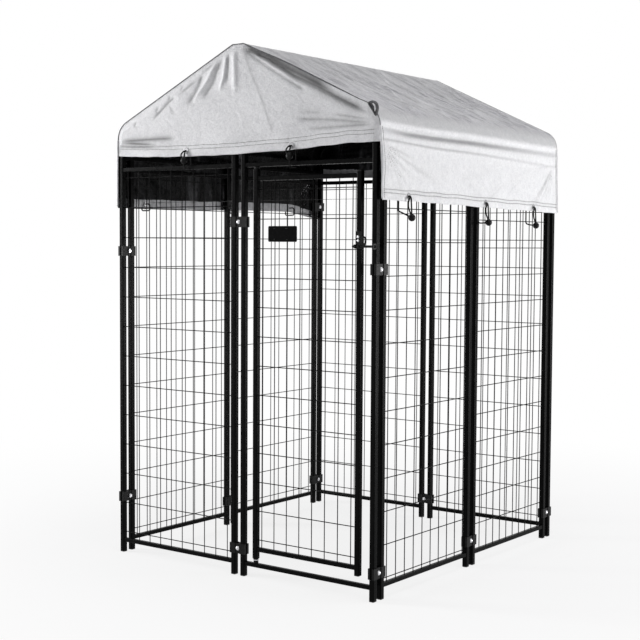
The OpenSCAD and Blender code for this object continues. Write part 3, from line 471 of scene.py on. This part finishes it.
def gable_hem(x, end):
    if end < 0:
        return np.interp(x, FRONT_HEM_X, FRONT_HEM_Z) + 0.8 * waves(x, 0, 110, 3)
    return cad_gable_hem(x, end) + 2.0 * waves(x, 0, 160, 4)


# The left skirt's rear corner hangs lower: by how much, where it starts and where it is full
DROOP, DROOP_FROM, DROOP_TO = 26.0, 395, 600


def skirt_hem(y, side):
    droop = DROOP * step(y, DROOP_FROM, DROOP_TO) if side < 0 else 0.0
    return cad_skirt_hem(y, side) + 1.4 * waves(y, 0, 150, 5 + side) - droop


# The cloth is flat up to the first distance from an eyelet and free from the second on
FLAT_NEAR, FLAT_FAR = 12, 38


def flat_at_eyelets(across, z, places):
    """1 away from every eyelet and 0 on one, so that the cloth lies flat between its flanges."""
    near = np.min([np.hypot(across - a, z - h) for a, h in places], axis=0)
    return step(near, FLAT_NEAR, FLAT_FAR)


# Folds of a gable, seen from outside: points along each, width, height (a valley if negative) and painted
# shade (a painted highlight if negative)
GABLE_FOLDS = (
    (((-14, 1805), (-10, 1739), (-10, 1653)), 7, 6.0, -0.16),
    (((-38, 1801), (-40, 1741), (-49, 1691)), 7, -3.0, 0.30),
    (((-48, 1795), (-59, 1722), (-83, 1669)), 7, 4.8, -0.16),
    (((-66, 1791), (-112, 1701), (-160, 1650)), 9, -4.0, 0.36),
    (((-96, 1772), (-140, 1709), (-202, 1646)), 7, 4.8, -0.16),
    (((-156, 1738), (-189, 1676), (-231, 1633)), 9, -4.0, 0.34),
    (((-104, 1773), (-173, 1734)), 5, -2.5, 0.34),
    (((-181, 1721), (-281, 1667)), 4, -3.0, 0.38),
    (((-292, 1667), (-328, 1643), (-406, 1586)), 4.5, -3.5, 0.42),
    (((-319, 1643), (-281, 1599)), 3.5, -2.0, 0.28),
    (((-553, 1523), (-406, 1524), (-273, 1523)), 7, -4.0, 0.62),
    (((-553, 1516), (-358, 1502)), 4.5, -2.5, 0.64),
    (((-576, 1503), (-333, 1491)), 4, -2.5, 0.52),
    (((26, 1812), (139, 1764), (244, 1705), (346, 1660), (426, 1620), (540, 1568)), 9, -5.0, 0.70),
    (((44, 1795), (160, 1727), (244, 1679), (293, 1653)), 4.5, -3.5, 0.32),
    (((50, 1803), (165, 1737), (260, 1684)), 7, 5.4, -0.16),
    (((31, 1793), (68, 1710), (114, 1622), (165, 1501)), 4.0, 0.7, 0.24),
    (((-8, 1793), (-3, 1682)), 3.5, 1.0, 0.30),
    (((-246, 1703), (-268, 1690)), 4, -2.5, 0.30),
    (((-312, 1674), (-322, 1655)), 4, -2.5, 0.32),
    (((-368, 1640), (-384, 1615)), 5, -2.5, 0.26),
    (((-478, 1592), (-492, 1568)), 5, -2.5, 0.26),
    (((261, 1587), (398, 1574)), 5, -1.5, 0.20),
    (((261, 1563), (407, 1552), (565, 1535)), 6, -3.5, 0.34),
    (((310, 1527), (446, 1530), (565, 1531)), 5, -3.0, 0.34),
    (((406, 1571), (561, 1546)), 4, -2.5, 0.30),
)
EDGE_LIFT = 9.0
# No fold goes further in than this from the plain face: on a gable, on a skirt, and more by the eave
GABLE_IN, SKIRT_IN, EAVE_IN = 1.2, 0.6, 10.0
# Painted light of a gable: painted shadow of the band under its right slope, weight of the painted shade and
# highlights of the folds, most of both
BAND_SHADOW, FOLD_PAINT, PAINT_MOST = 0.66, 1.15, 0.86


def mark(u, v, points, width):
    """Line through the points, 0 to 1, fading at both ends."""
    out = 0.0
    last = len(points) - 2
    for k, (a, b) in enumerate(zip(points, points[1:])):
        du, dv = b[0] - a[0], b[1] - a[1]
        length = math.hypot(du, dv)
        along = ((u - a[0]) * du + (v - a[1]) * dv) / length
        near = np.clip(along, 0, length) / length
        line = crest(np.hypot(u - a[0] - du * near, v - a[1] - dv * near), width)
        if k == 0:
            line = line * fade_in(along, length)
        if k == last:
            line = line * fade_out(along, length)
        out = np.maximum(out, line)
    return out


def edge_lift(x, end):
    """The right slope edge of each gable stands a little proud."""
    u = -end * x
    return EDGE_LIFT * step(u, 24, 240) * (1 - step(u, 540, 575))


def below_slope(u, z):
    """Distance of a gable's points from the slope's edge."""
    return np.maximum(0.0, (FLAT_Z + MID - np.maximum(0, np.abs(u) - FLAT / 2) * TAN - z) * COS)


def gable_out(x, z, end):
    """How far a gable stands out from its plain face."""
    u = -end * x
    gap = below_slope(u, z)
    up = z - gable_hem(x, end)
    out = 4.0 * step(gap, 2, 30) * step(up, 25, 120) + 2.2 * waves(u, z, 320, 13) * step(gap, 5, 80)
    for points, width, height, _ in GABLE_FOLDS:
        out = out + height * mark(u, z, points, width)
    out = out + (1 - step(up, 34, 90)) * (1.2 + 1.4 * waves(u, 3.2 * z, 170, 11))
    eyes = [(tx, cad_gable_hem(tx, end) + EYELET_UP) for tx in TIE_X]
    held = step(HALF_X + 14 - np.abs(x), 0, 30) * flat_at_eyelets(x, z, eyes)
    return np.maximum(out, -GABLE_IN) * held


def gable_shade(x, z, end):
    """Painted shade and highlights of a gable, 1 where it is plain."""
    u = -end * x
    gap = below_slope(u, z)
    # Painted shadow under the proud right slope edge
    dark = BAND_SHADOW * step(u, 20, 70) * (1 - step(u, 330, 420)) * (1 - step(gap, 5, 15))
    # Painted shade in the fold valleys, painted highlights on the fold ridges
    for points, width, _, darkening in GABLE_FOLDS:
        dark = dark + FOLD_PAINT * darkening * mark(u, z, points, 0.8 * width)
    return 1 - np.minimum(dark, PAINT_MOST)


# Folds of a skirt: a valley and a crease along it, and folds running in from its corners
VALLEY_Y, VALLEY_Z = (-600, -470, -280, -30, 540), (1514, 1508, 1506, 1507, 1501)
CREASE_Y, CREASE_Z = (-600, -470, -280, -30, 200, 560), (1484, 1480, 1475, 1472, 1468, 1457)
FRONT_CORNER, BACK_CORNER = (-618.0, 1469.0), (590.0, 1462.0)
# Angle below level, height, length
FRONT_FOLDS = ((15, 6.0, 230), (23, 5.0, 430), (36, 4.5, 230), (47, 5.0, 250), (58, 5.5, 210), (71, 4.5, 170))
BACK_FOLDS = ((12, 3.0, 190), (45, 6.0, 290), (53, 5.5, 250), (62, 5.0, 220), (72, 4.5, 190))
# From, to, width, height
SKIRT_STREAKS = (
    ((190, 1390), (5, 1300), 11, 4.0),
    ((-250, 1330), (-420, 1300), 9, 2.5),
    ((330, 1420), (190, 1330), 12, 3.0),
    ((-120, 1400), (40, 1312), 12, 2.5),
)
# Rows of stitches above the hems, and the painted shade of the seam's pucker along each row on a skirt:
# darkening and width
GABLE_SEAMS, SKIRT_SEAMS = (26, 38), (23, 34)
SEAM_SHADE, SEAM_W = 0.24, 2.2


def valley_depth(y):
    """The valley is deepest before the middle of the side."""
    return step(y, -640, -400) * (1 - 0.85 * step(y, -60, 540))


def eave_relief(y, z):
    """Long folds along the eave, shared by the roof's bend and the skirt."""
    valley = np.interp(y, VALLEY_Y, VALLEY_Z)
    deep = valley_depth(y)
    above = (2.0 + 2.5 * deep) * crest(z - valley - 29, 9)
    within = (4.0 + 4.0 * deep) * bell(z, valley + 9, 9)
    return above - within + 4.0 * crest(z - valley + 12, 8)


def eave_shade(y, z):
    """Painted shade in the valley and over the bend above it, and a painted highlight along the line between
    them.
    """
    valley = np.interp(y, VALLEY_Y, VALLEY_Z)
    deep = valley_depth(y)
    dark = (0.10 + 0.42 * deep) * bell(z, valley - 1, 10) + 0.28 * step(z, valley + 22, valley + 38)
    return 1 - dark + 0.08 * bell(z, valley + 18, 6)


def corner_folds(y, z):
    """Each fold from a skirt's top corners: angle off its line, height and how much of it is here."""
    for corner, folds in ((FRONT_CORNER, FRONT_FOLDS), (BACK_CORNER, BACK_FOLDS)):
        away = (y - corner[0]) * (1 if corner[0] < 0 else -1)
        r, a = np.hypot(away, corner[1] - z), np.degrees(np.arctan2(corner[1] - z, away + 1e-6))
        for angle, height, length in folds:
            yield a - angle, height, step(r, 12, 60) * (1 - step(r, 0.4 * length, length))


def skirt_shade(y, z):
    """Painted shade of a skirt, 1 where it is plain."""
    shade = eave_shade(y, z)
    crease = np.interp(y, CREASE_Y, CREASE_Z)
    shade = shade - (0.24 - 0.16 * step(y, -100, 420)) * bell(z, crease, 4.5)
    for off, height, here in corner_folds(y, z):
        shade = shade - 0.032 * height * bell(off, -4.2, 2.0) * here
    for a, b, width, height in SKIRT_STREAKS:
        shade = shade - 0.03 * streak(y, z + 0.9 * width, a, b, 0.6 * width, height)
    return shade


def free_of_ends(y):
    """0 at the gables and 1 away from them."""
    return step(GABLE_Y - np.abs(y), 8, 60)


def skirt_out(y, z, side):
    """How far a skirt stands out, beyond its plain lean."""
    crease = np.interp(y, CREASE_Y, CREASE_Z)
    out = eave_relief(y, z) - 3.5 * bell(z, crease + 3, 5) + 1.6 * crest(z - crease + 8, 6)
    for off, height, here in corner_folds(y, z):
        out = out + height * crest(off, 2.6) * here
    for a, b, width, height in SKIRT_STREAKS:
        out = out + streak(y, z, a, b, width, height)
    low = 1 - step(z, 1380, 1450)
    ends = step(-y, 380, 560) + 0.8 * step(y, 330, 560)
    out = out + 3.0 * low * ends * creases(y, 1.3 * z, 90, 61 + side)
    out = out + low * (2.0 + 2.2 * waves(y, z, 240, 15 + side) + 0.8 * waves(y, z, 80, 18 + side))
    out = np.maximum(out, -SKIRT_IN - EAVE_IN * step(z, 1470, 1488) * free_of_ends(y))
    eyes = [(ty, cad_skirt_hem(ty, side) + EYELET_UP) for ty in TIE_Y]
    return out * (0.2 + 0.8 * step(GABLE_Y - np.abs(y), 0, 24)) * flat_at_eyelets(y, z, eyes)


# The front right corner stands out at the eave and is drawn in at the hem
CORNER_OUT, CORNER_IN = 11.0, 5.0


def corner_bulge(y, side, t=1.0):
    if side < 0:
        return 0.0 * y
    out = CORNER_OUT * bell(y, -GABLE_MID, 150) * step(t, 0, 0.7)
    return out - CORNER_IN * bell(y, -GABLE_MID, 70) * (1 - step(t, 0, 0.6))


def ring_places():
    """Grid place of each point round the rim, from the front left corner to the right."""
    i = [*range(ACROSS), *[ACROSS] * ALONG, *range(ACROSS, 0, -1), *[0] * ALONG]
    j = [*[0] * ACROSS, *range(ALONG), *[ALONG] * ACROSS, *range(ALONG, 0, -1)]
    return np.array(i), np.array(j)


def wall_points():
    """Points of the gables and skirts from the hem up, their painted shade, and which is which."""
    i, j = ring_places()
    t = np.linspace(0, 1, DROPS + 1)[:, None]
    x0, y0, top = X_AT[i], Y_AT[j], Z_AT[i]
    pts = np.zeros((DROPS + 1, RING, 3))
    shade = np.ones((DROPS + 1, RING))
    kind = np.where((i == 0) | (i == ACROSS), SKIRT, GABLE)
    for side in (-1, 1):
        q = np.flatnonzero((kind == SKIRT) & (np.sign(x0) == side))
        y = y0[q][None, :]
        hem = skirt_hem(y, side)
        z = hem + (top[q] - hem) * t
        plain = (z - cad_skirt_hem(y, side)) / (BEND_Z - cad_skirt_hem(y, side))
        out = cad_skirt_x(y, side, np.clip(plain, 0, 1), MID) + skirt_out(y, z, side)
        out = out + corner_bulge(y, side, t)
        pts[:, q] = np.stack([side * out, y + 0 * z, z], axis=-1)
        # Painted shade of the seam puckers along the stitch rows
        seams = sum(bell(z - hem, above, SEAM_W) for above in SKIRT_SEAMS)
        shade[:, q] = skirt_shade(y, z) - SEAM_SHADE * seams
    for end in (-1, 1):
        q = np.flatnonzero((kind == GABLE) & (np.sign(y0) == end))
        x = x0[q][None, :]
        hem = gable_hem(x, end)
        z = hem + (top[q] + edge_lift(x, end) - hem) * t
        bend = np.clip((x - BEND_X) / (EAVE_R + MID), 0, 1) * (CORNER_OUT if end < 0 else 0.0)
        out = GABLE_MID + gable_out(x, z, end)
        pts[:, q] = np.stack([x + bend + 0 * z, end * out, z], axis=-1)
        shade[:, q] = gable_shade(x, z, end)
    return pts, shade, kind


def roof_points():
    """Points of the roof inside its rim, their painted shade and the share of painted shade along the slope
    creases.
    """
    i, j = np.meshgrid(np.arange(1, ACROSS), np.arange(1, ALONG), indexing="ij")
    x, y, z = X_AT[i], Y_AT[j], Z_AT[i]
    dx, dz = np.gradient(X_AT), np.gradient(Z_AT)
    size = np.hypot(dx, dz)
    nx, nz = (-dz / size)[i], (dx / size)[i]
    h = np.abs(i - HALF_N) / HALF_N
    inside = step(GABLE_MID - np.abs(y), 0, 60)
    down = np.abs(x)
    lift = 0.6 * waves(0.2 * x, y, 46, 21) + 1.4 * waves(0.5 * x, y, 190, 22)
    lift = lift + 5.0 * creases(0.26 * x, y + 0.30 * down, 150, 24)
    lift = lift + 4.0 * creases(0.30 * x, y - 0.16 * down, 90, 25)
    lift = lift * inside
    lift = lift * step(down, 14, 60) * (1 - step(down, 500, 556))
    lift = lift + 1.2 * bell(GABLE_MID - np.abs(y), 6, 7)
    lift = lift + eave_relief(y, z) * step(down, 470, 525) * free_of_ends(y)
    sag = SAG * np.sin(math.pi * j / ALONG) * np.sin(math.pi * h) ** 2
    bulge = np.where(x > 0, corner_bulge(y, 1), 0) * np.clip((down - BEND_X) / (EAVE_R + MID), 0, 1)
    lines = (0.35 + 0.65 * step(down, 60, 330)) * (1 - step(down, 535, 574))
    # Painted shade: the eave's painted shade and highlight, lifted on the slope and darker towards the ridge
    shade = eave_shade(y, z) + 0.24 * step(z, 1572, 1604) - 0.14 * step(z, 1640, 1770)
    proud = sum(edge_lift(x, end) * bell(y, end * GABLE_MID, 40) for end in (-1, 1))
    return np.stack([x + nx * lift + bulge, y, z - sag + nz * lift + proud], axis=-1), shade, lines


def grid_faces():
    """Quads of the walls and the roof; the roof's rim is the walls' top row."""
    d, q = np.meshgrid(np.arange(DROPS), np.arange(RING), indexing="ij")
    n = (q + 1) % RING
    low, high = d * RING, (d + 1) * RING
    walls = np.stack([low + q, low + n, high + n, high + q], axis=-1).reshape(-1, 4)
    roof = np.zeros((ACROSS + 1, ALONG + 1), dtype=int)
    i, j = ring_places()
    roof[i, j] = DROPS * RING + np.arange(RING)
    inner = (ACROSS - 1, ALONG - 1)
    roof[1:-1, 1:-1] = (DROPS + 1) * RING + np.arange(inner[0] * inner[1]).reshape(inner)
    top = np.stack([roof[:-1, :-1], roof[1:, :-1], roof[1:, 1:], roof[:-1, 1:]], axis=-1).reshape(-1, 4)
    return np.vstack([walls, top])


# Radius of the hole at an eyelet, and height of the hem turned in
HOLE_R, HEM_BAND = 5.4, 33


def cut_eyelets(pts, faces):
    """Takes the nearest point out at each eyelet and makes the hole round."""
    keep = np.ones(len(faces), dtype=bool)
    for place, out, _, _ in eyelets(COVER_T / 2, MID):
        v = int(np.argmin(np.linalg.norm(pts - place, axis=1)))
        hit = np.any(faces == v, axis=1)
        keep &= ~hit
        for w in set(faces[hit].ravel().tolist()) - {v}:
            away = pts[w] - pts[v]
            away = away - out * away.dot(out)
            pts[w] = place + away / np.linalg.norm(away) * HOLE_R
    return faces[keep]


def build_cover():
    """The cover's object, the roof's edges over the gables, and the corners."""
    walls, wall_shade, ring_kind = wall_points()
    roof, roof_shade, crease_shade_share = roof_points()
    back = ACROSS + ALONG
    edges = {-1: walls[DROPS, :ACROSS + 1], 1: walls[DROPS, back:back + ACROSS + 1]}
    corners = [walls[:, q] for q in (0, ACROSS, back, back + ACROSS)]
    pts = np.vstack([walls.reshape(-1, 3), roof.reshape(-1, 3)])
    kind = np.concatenate([np.tile(ring_kind, DROPS + 1), np.full(roof.shape[0] * roof.shape[1], ROOF)])
    shade = np.concatenate([wall_shade.ravel(), roof_shade.ravel()])
    lines = np.zeros((DROPS + 1, RING))
    lines[DROPS, ring_kind == GABLE] = 0.5
    lines = np.concatenate([lines.ravel(), crease_shade_share.ravel()])
    faces = cut_eyelets(pts, grid_faces())
    used, faces = np.unique(faces, return_inverse=True)
    faces = faces.reshape(-1, 4)
    pts, kind, shade, lines = pts[used], kind[used], shade[used], lines[used]
    across = np.cross(pts[faces[:, 2]] - pts[faces[:, 0]], pts[faces[:, 3]] - pts[faces[:, 1]])
    normals = np.zeros_like(pts)
    for k in range(4):
        np.add.at(normals, faces[:, k], across)
    normals /= np.maximum(np.linalg.norm(normals, axis=1, keepdims=True), 1e-9)
    count = len(pts)
    both = np.vstack([pts + normals * CLOTH_T / 2, pts - normals * CLOTH_T / 2])
    sides = {(int(f[k]), int(f[(k + 1) % 4])) for f in faces for k in range(4)}
    rims = np.array([(b, a, a + count, b + count) for a, b in sides if (b, a) not in sides])
    middle, first = pts[faces].mean(axis=1), kind[faces[:, 0]]
    turned = np.zeros(len(faces), dtype=bool)
    for s in (-1, 1):
        skirt = (first == SKIRT) & (np.sign(middle[:, 0]) == s)
        gable = (first == GABLE) & (np.sign(middle[:, 1]) == s)
        turned |= skirt & (middle[:, 2] < skirt_hem(middle[:, 1], s) + HEM_BAND)
        turned |= gable & (middle[:, 2] < gable_hem(middle[:, 0], s) + HEM_BAND)
    mats = np.concatenate([np.zeros(len(faces)), np.where(turned, 2, 1), np.zeros(len(rims))])
    obj = make_object("cover_cloth", both * MM, np.vstack([faces, faces[:, ::-1] + count, rims]).tolist(),
                      [MATS["cover"], MATS["lining"], MATS["hem"]], mats)
    # Painted light of the cover: painted shade and highlights in red, share of painted crease shade in green
    layer = obj.data.color_attributes.new("painted_light", "FLOAT_COLOR", "POINT")
    paint = np.ones((2 * count, 4), dtype=np.float32)
    paint[:, 0], paint[:, 1] = np.tile(shade, 2), np.tile(lines, 2)
    layer.data.foreach_set("color", paint.ravel())
    return obj, edges, corners


def tube(path, radius, sides, closed=False):
    """Round tube along a smooth route; returns vertices and faces."""
    path = np.asarray(path, float)
    n = len(path)
    r = np.broadcast_to(radius, n)
    if closed:
        tan = np.roll(path, -1, axis=0) - np.roll(path, 1, axis=0)
    else:
        tan = np.gradient(path, axis=0)
    tan /= np.linalg.norm(tan, axis=1, keepdims=True)
    ref = np.array([0, 0, 1.0]) if abs(tan[0][2]) < 0.9 else np.array([0, 1.0, 0])
    verts, faces = [], []
    for k in range(n):
        ref = ref - tan[k] * ref.dot(tan[k])
        ref /= np.linalg.norm(ref)
        other = np.cross(tan[k], ref)
        for s in range(sides):
            a = 2 * math.pi * s / sides
            verts.append(path[k] + r[k] * (ref * math.cos(a) + other * math.sin(a)))
    for k in range(n if closed else n - 1):
        m = (k + 1) % n
        for s in range(sides):
            t = (s + 1) % sides
            faces.append((k * sides + s, k * sides + t, m * sides + t, m * sides + s))
    if not closed:
        faces.append(tuple(reversed(range(sides))))
        faces.append(tuple(range((n - 1) * sides, n * sides)))
    return verts, faces


def smooth_path(points, per, closed=False):
    """Curve through the points."""
    p = [np.asarray(q, float) for q in points]
    p = [p[-1], *p, p[0], p[1]] if closed else [2 * p[0] - p[1], *p, 2 * p[-1] - p[-2]]
    out = []
    for a, b, c, d in zip(p, p[1:], p[2:], p[3:]):
        square, cube = 2 * a - 5 * b + 4 * c - d, 3 * b - a - 3 * c + d
        for t in np.arange(per) / per:
            out.append(0.5 * (2 * b + (c - a) * t + square * t * t + cube * t ** 3))
    return out if closed else [*out, p[-2]]


class Merge:
    """Collects many small shapes into one object."""

    def __init__(self):
        self.verts, self.faces = [], []

    def add(self, shape):
        base = len(self.verts)
        self.verts.extend(shape[0])
        self.faces.extend(tuple(v + base for v in f) for f in shape[1])

    def make(self, name, mat):
        return make_object(name, np.array(self.verts) * MM, self.faces, [mat])


EYES = np.array([place for place, _, _, _ in eyelets(COVER_T, COVER_OFF)])
# No stitches nearer to an eyelet than this; rays that look for the cloth start this far out
EYE_CLEAR, RAY_FROM = 15, 760
# Half lengths of the rows along a gable and a skirt, and where the row beside a corner runs
SEAM_X, SEAM_Y, CORNER_SEAM_Y = 570, 611, 608


def stitch(merge, line, pitch=7.0, length=4.6, radius=0.6):
    """Dashes of thread along a line of points and normals on the cloth."""
    points, normals = (np.array(v) for v in zip(*line))
    s = np.concatenate([[0], np.cumsum(np.linalg.norm(np.diff(points, axis=0), axis=1))])
    for w in np.arange(pitch, s[-1] - pitch, pitch):
        spots = []
        for v in (w - length / 2, w, w + length / 2):
            p, n = (np.array([np.interp(v, s, both[:, k]) for k in range(3)]) for both in (points, normals))
            spots.append((p, n / np.linalg.norm(n)))
        if np.min(np.linalg.norm(EYES - spots[1][0], axis=1)) < EYE_CLEAR:
            continue
        lifts = ((0, -0.2), (0, 0.3), (1, 0.45), (2, 0.3), (2, -0.2))
        merge.add(tube([spots[k][0] + spots[k][1] * up for k, up in lifts], radius, 5))


def sew(cover):
    """Two rows of stitches above every hem and one beside every corner."""
    seams = Merge()

    def trace(starts, direction):
        line = []
        for start in starts:
            hit, place, normal, _ = cover.ray_cast(Vector(start) * MM, Vector(direction))
            if hit:
                line.append((np.array(place) / MM, np.array(normal)))
        return line

    for s in (-1, 1):
        for above in GABLE_SEAMS:
            xs = np.linspace(-SEAM_X, SEAM_X, 230)
            stitch(seams, trace([(x, s * RAY_FROM, gable_hem(x, s) + above) for x in xs], (0, -s, 0)))
        for above in SKIRT_SEAMS:
            ys = np.linspace(-SEAM_Y, SEAM_Y, 240)
            stitch(seams, trace([(s * RAY_FROM, y, skirt_hem(y, s) + above) for y in ys], (-s, 0, 0)))
        for end in (-1, 1):
            zs = np.linspace(skirt_hem(end * GABLE_Y, s) + 3, BEND_Z + 4, 60)
            stitch(seams, trace([(s * RAY_FROM, end * CORNER_SEAM_Y, z) for z in zs], (-s, 0, 0)), 6.5, 4.4)
    return seams.make("cover_stitching", MATS["thread"])


# Loop of slack binding at the front right eave, across and up
LOOP = ((543, 1597), (553, 1602), (565, 1601), (575, 1595), (580, 1585), (580, 1574), (576, 1563),
        (571, 1558), (564, 1567), (556, 1578), (549, 1588))
LOOP_FOLD = ((561, 1595), (568, 1589), (571, 1580), (569, 1570))
LOOP_OUT, LOOP_R, WELT_R = 4.5, 2.6, 2.8


def bind(edges, corners):
    """Bound edge between the roof and each gable, and the welt down each corner."""
    dark, light = Merge(), Merge()
    for end, line in edges.items():
        u = -end * line[:, 0]
        # Dark binding, thicker along each right slope, where it also stands in for the shadow line under the
        # proud edge
        thick_with_shadow = 1.2 + 1.4 * step(u, 0, 60) * (1 - step(u, 330, 560))
        dark.add(tube(line + np.array((0, end * 1.4, 0.6)), thick_with_shadow, 8))
    for line in corners:
        side, end = np.sign(line[0, 0]), np.sign(line[0, 1])
        light.add(tube(line[1:] + np.array((side * 0.8, end * 1.2, 0)), WELT_R, 8))
    front = -(GABLE_MID + LOOP_OUT)
    ring = smooth_path([(x, front, z) for x, z in LOOP], 4, closed=True)
    dark.add(tube(ring, LOOP_R, 8, closed=True))
    # Dark patch filling the loop: painted shade of its hollow
    hollow_shade = np.mean(ring, axis=0) + np.array((0, 4.0, 0))
    dark.add(([*ring, hollow_shade], [(k, (k + 1) % len(ring), len(ring)) for k in range(len(ring))]))
    fold = smooth_path([(x, front, z) for x, z in LOOP_FOLD], 5)
    light.add(tube(fold, 1.5 + 2.2 * np.sin(np.linspace(0, math.pi, len(fold))), 8))
    binding = dark.make("cover_binding", MATS["binding"])
    return binding, light.make("cover_corner_welts", MATS["cover_plain"])


# Elastic ties: the CAD's routes, rounded, with the second strand of each loop that hangs
def route(end, at, place, gable):
    """Points out from the cloth and up from the eyelet, from the ball round and back to it."""
    if gable:
        inside, under = HALF_Y - GABLE_Y - COVER_T - RAIL_GAP, TOP_RAIL_Z - place[2] - RAIL_GAP
        ball = (CORD_OUT, max(DROP_GABLE, under + 2 * BALL_R))
        return [ball, (7.5, -3), (1, 0), (inside, 0), (inside, under), (8.5, under), ball]
    wire = HALF_X - abs(place[0])
    row = ROW_LEFT if end < 0 else ROW_RIGHT_FRONT if at < 0 else ROW_RIGHT_BACK
    inside, under = wire - CORD_R - GAP, row - place[2] - CORD_R - GAP
    if end < 0:
        ball = (TAUT_OUT, 0)
        return [ball, (inside, 0), (inside, under), (TAUT_OUT, under), ball]
    ball = (CORD_OUT, DROP_SKIRT)
    return [ball, (8.5, -4), (1, 0), (inside, 0), (inside, under), (wire + 6, under - 5), ball]


# Cord taken off at the ball and at each bend of a route, and points of the arc put there
END_CUT, BEND_CUT, BEND_N = 4, 8, 7


def towards(a, b, d):
    """Point at most d from a on the way to b."""
    a, b = np.asarray(a, float), np.asarray(b, float)
    gap = np.linalg.norm(b - a)
    return a + (b - a) / gap * min(d, gap / 2.2)


def rounded(r):
    """The route with its bends made round."""
    out = [towards(r[0], r[1], END_CUT)]
    for before, here, after in zip(r, r[1:], r[2:]):
        a, b = towards(here, before, BEND_CUT), towards(here, after, BEND_CUT)
        c = np.asarray(here, float)
        out += [a * (1 - u) ** 2 + 2 * c * u * (1 - u) + b * u * u for u in np.linspace(0, 1, BEND_N)]
    return [*out, towards(r[-1], r[-2], END_CUT)]


# Second strand: out from the cloth, share of the way down to the ball, share of the bow
STRAND = ((0.5, 0.0, 0.0), (8.5, 0.06, 0.35), (12, 0.3, 0.95), (13.5, 0.55, 1.0), (13.5, 0.78, 0.55),
          (13, 0.9, 0.12))
# How far it bows to the side, on a gable and on a skirt
BOW_GABLE, BOW_SKIRT = 12.0, 22.0


def make_ties():
    cords = Merge()
    up = np.array([0, 0, 1.0])
    for place, out, end, at in eyelets(COVER_T, COVER_OFF):
        gable = out[1] != 0
        way = route(end, at, place, gable)
        cords.add(tube([place + out * p[0] + up * p[1] for p in rounded(way)], CORD_R, 12))
        drop = way[0][1]
        if drop:
            bow = np.cross(out, up) * (BOW_GABLE if gable else BOW_SKIRT)
            strand = [place + out * a + up * drop * b + bow * c for a, b, c in STRAND]
            cords.add(tube(smooth_path(strand, 6), CORD_R, 10))
    return cords.make("elastic_ties", MATS["cord"])


# Stage
FLOOR_R, FLOOR_SIDES, FLOOR_GREY = 14.0, 96, 0.86
# Nearest and furthest distance from the middle, and the share of white there
FLOOR_WHITE = (0.5, 3.2, 0.80, 1.0)
# Place, aim, width and height, watts
LIGHTS = {
    "key_right": ((4.9, 2.2, 0.5), (0.4, 0, 1.4), (3.6, 1.8), 328),
    "front_left": ((-5.1, -3.1, 1.8), (0, -0.6, 1.5), (1.6, 4.0), 388),
    "top_soft": ((1.2, -0.4, 5.2), (0.2, 0, 1.0), (2.0, 2.0), 62),
}
SKY = (0.22, 0.22, 0.232)


def white_backdrop(tree, plain, white, output, share=None):
    """Camera, gloss and glass see white here, or the given share of it.

    All other light meets the plain shader."""
    path = tree.nodes.new("ShaderNodeLightPath")
    seen = path.outputs["Is Camera Ray"]
    for ray in ("Is Glossy Ray", "Is Transmission Ray"):
        seen = combine(tree, "MAXIMUM", seen, path.outputs[ray])
    if share is not None:
        seen = combine(tree, "MULTIPLY", seen, share)
    glow = tree.nodes.new(white)
    glow.inputs["Color"].default_value = (1, 1, 1, 1)
    glow.inputs["Strength"].default_value = 1.0
    mix = tree.nodes.new("ShaderNodeMixShader")
    tree.links.new(seen, mix.inputs["Fac"])
    tree.links.new(plain, mix.inputs[1])
    tree.links.new(glow.outputs[0], mix.inputs[2])
    tree.links.new(mix.outputs["Shader"], tree.nodes[output].inputs["Surface"])


def white_share(tree):
    """How much of the floor is plain white: least beside the object, all further out."""
    coord = tree.nodes.new("ShaderNodeTexCoord")
    far = tree.nodes.new("ShaderNodeVectorMath")
    far.operation = "LENGTH"
    tree.links.new(coord.outputs["Object"], far.inputs[0])
    share = tree.nodes.new("ShaderNodeMapRange")
    share.interpolation_type = "SMOOTHSTEP"
    for name, value in zip(("From Min", "From Max", "To Min", "To Max"), FLOOR_WHITE):
        share.inputs[name].default_value = value
    tree.links.new(far.outputs["Value"], share.inputs["Value"])
    return share.outputs["Result"]


def make_stage():
    turns = np.linspace(0, 2 * math.pi, FLOOR_SIDES, endpoint=False)
    mat = bpy.data.materials.new("pale_floor")
    mat.use_nodes = True
    tree = mat.node_tree
    b = tree.nodes["Principled BSDF"]
    b.inputs["Base Color"].default_value = (FLOOR_GREY, FLOOR_GREY, FLOOR_GREY, 1)
    b.inputs["Roughness"].default_value = 0.9
    white_backdrop(tree, b.outputs["BSDF"], "ShaderNodeEmission", "Material Output", white_share(tree))
    rim = np.stack([FLOOR_R * np.cos(turns), FLOOR_R * np.sin(turns), 0 * turns], axis=-1)
    make_object("floor", rim, [range(len(turns))], [mat])
    world = bpy.data.worlds.new("studio")
    bpy.context.scene.world = world
    world.use_nodes = True
    bg = world.node_tree.nodes["Background"]
    bg.inputs["Color"].default_value = (*SKY, 1)
    bg.inputs["Strength"].default_value = 1.0
    white_backdrop(world.node_tree, bg.outputs["Background"], "ShaderNodeBackground", "World Output")
    for name, (place, aim, size, watts) in LIGHTS.items():
        data = bpy.data.lights.new(name, "AREA")
        data.shape = "RECTANGLE"
        data.size, data.size_y = size
        data.energy = watts
        lamp = bpy.data.objects.new(name, data)
        bpy.context.scene.collection.objects.link(lamp)
        lamp.location = place
        lamp.rotation_mode = "QUATERNION"
        lamp.rotation_quaternion = (Vector(aim) - Vector(place)).to_track_quat("-Z", "Y")
    bpy.context.scene.view_settings.view_transform = "Standard"


make_camera()
dress_nodes()
cover, roof_edges, wall_corners = build_cover()
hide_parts("roof_cover")
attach(cover, "frame")
bpy.context.view_layer.update()
stitching = sew(cover)
binding, welts = bind(roof_edges, wall_corners)
for piece in (stitching, binding, welts):
    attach(piece, "frame")
ties = make_ties()
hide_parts("bungee_cords")
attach(ties, "frame")
make_stage()
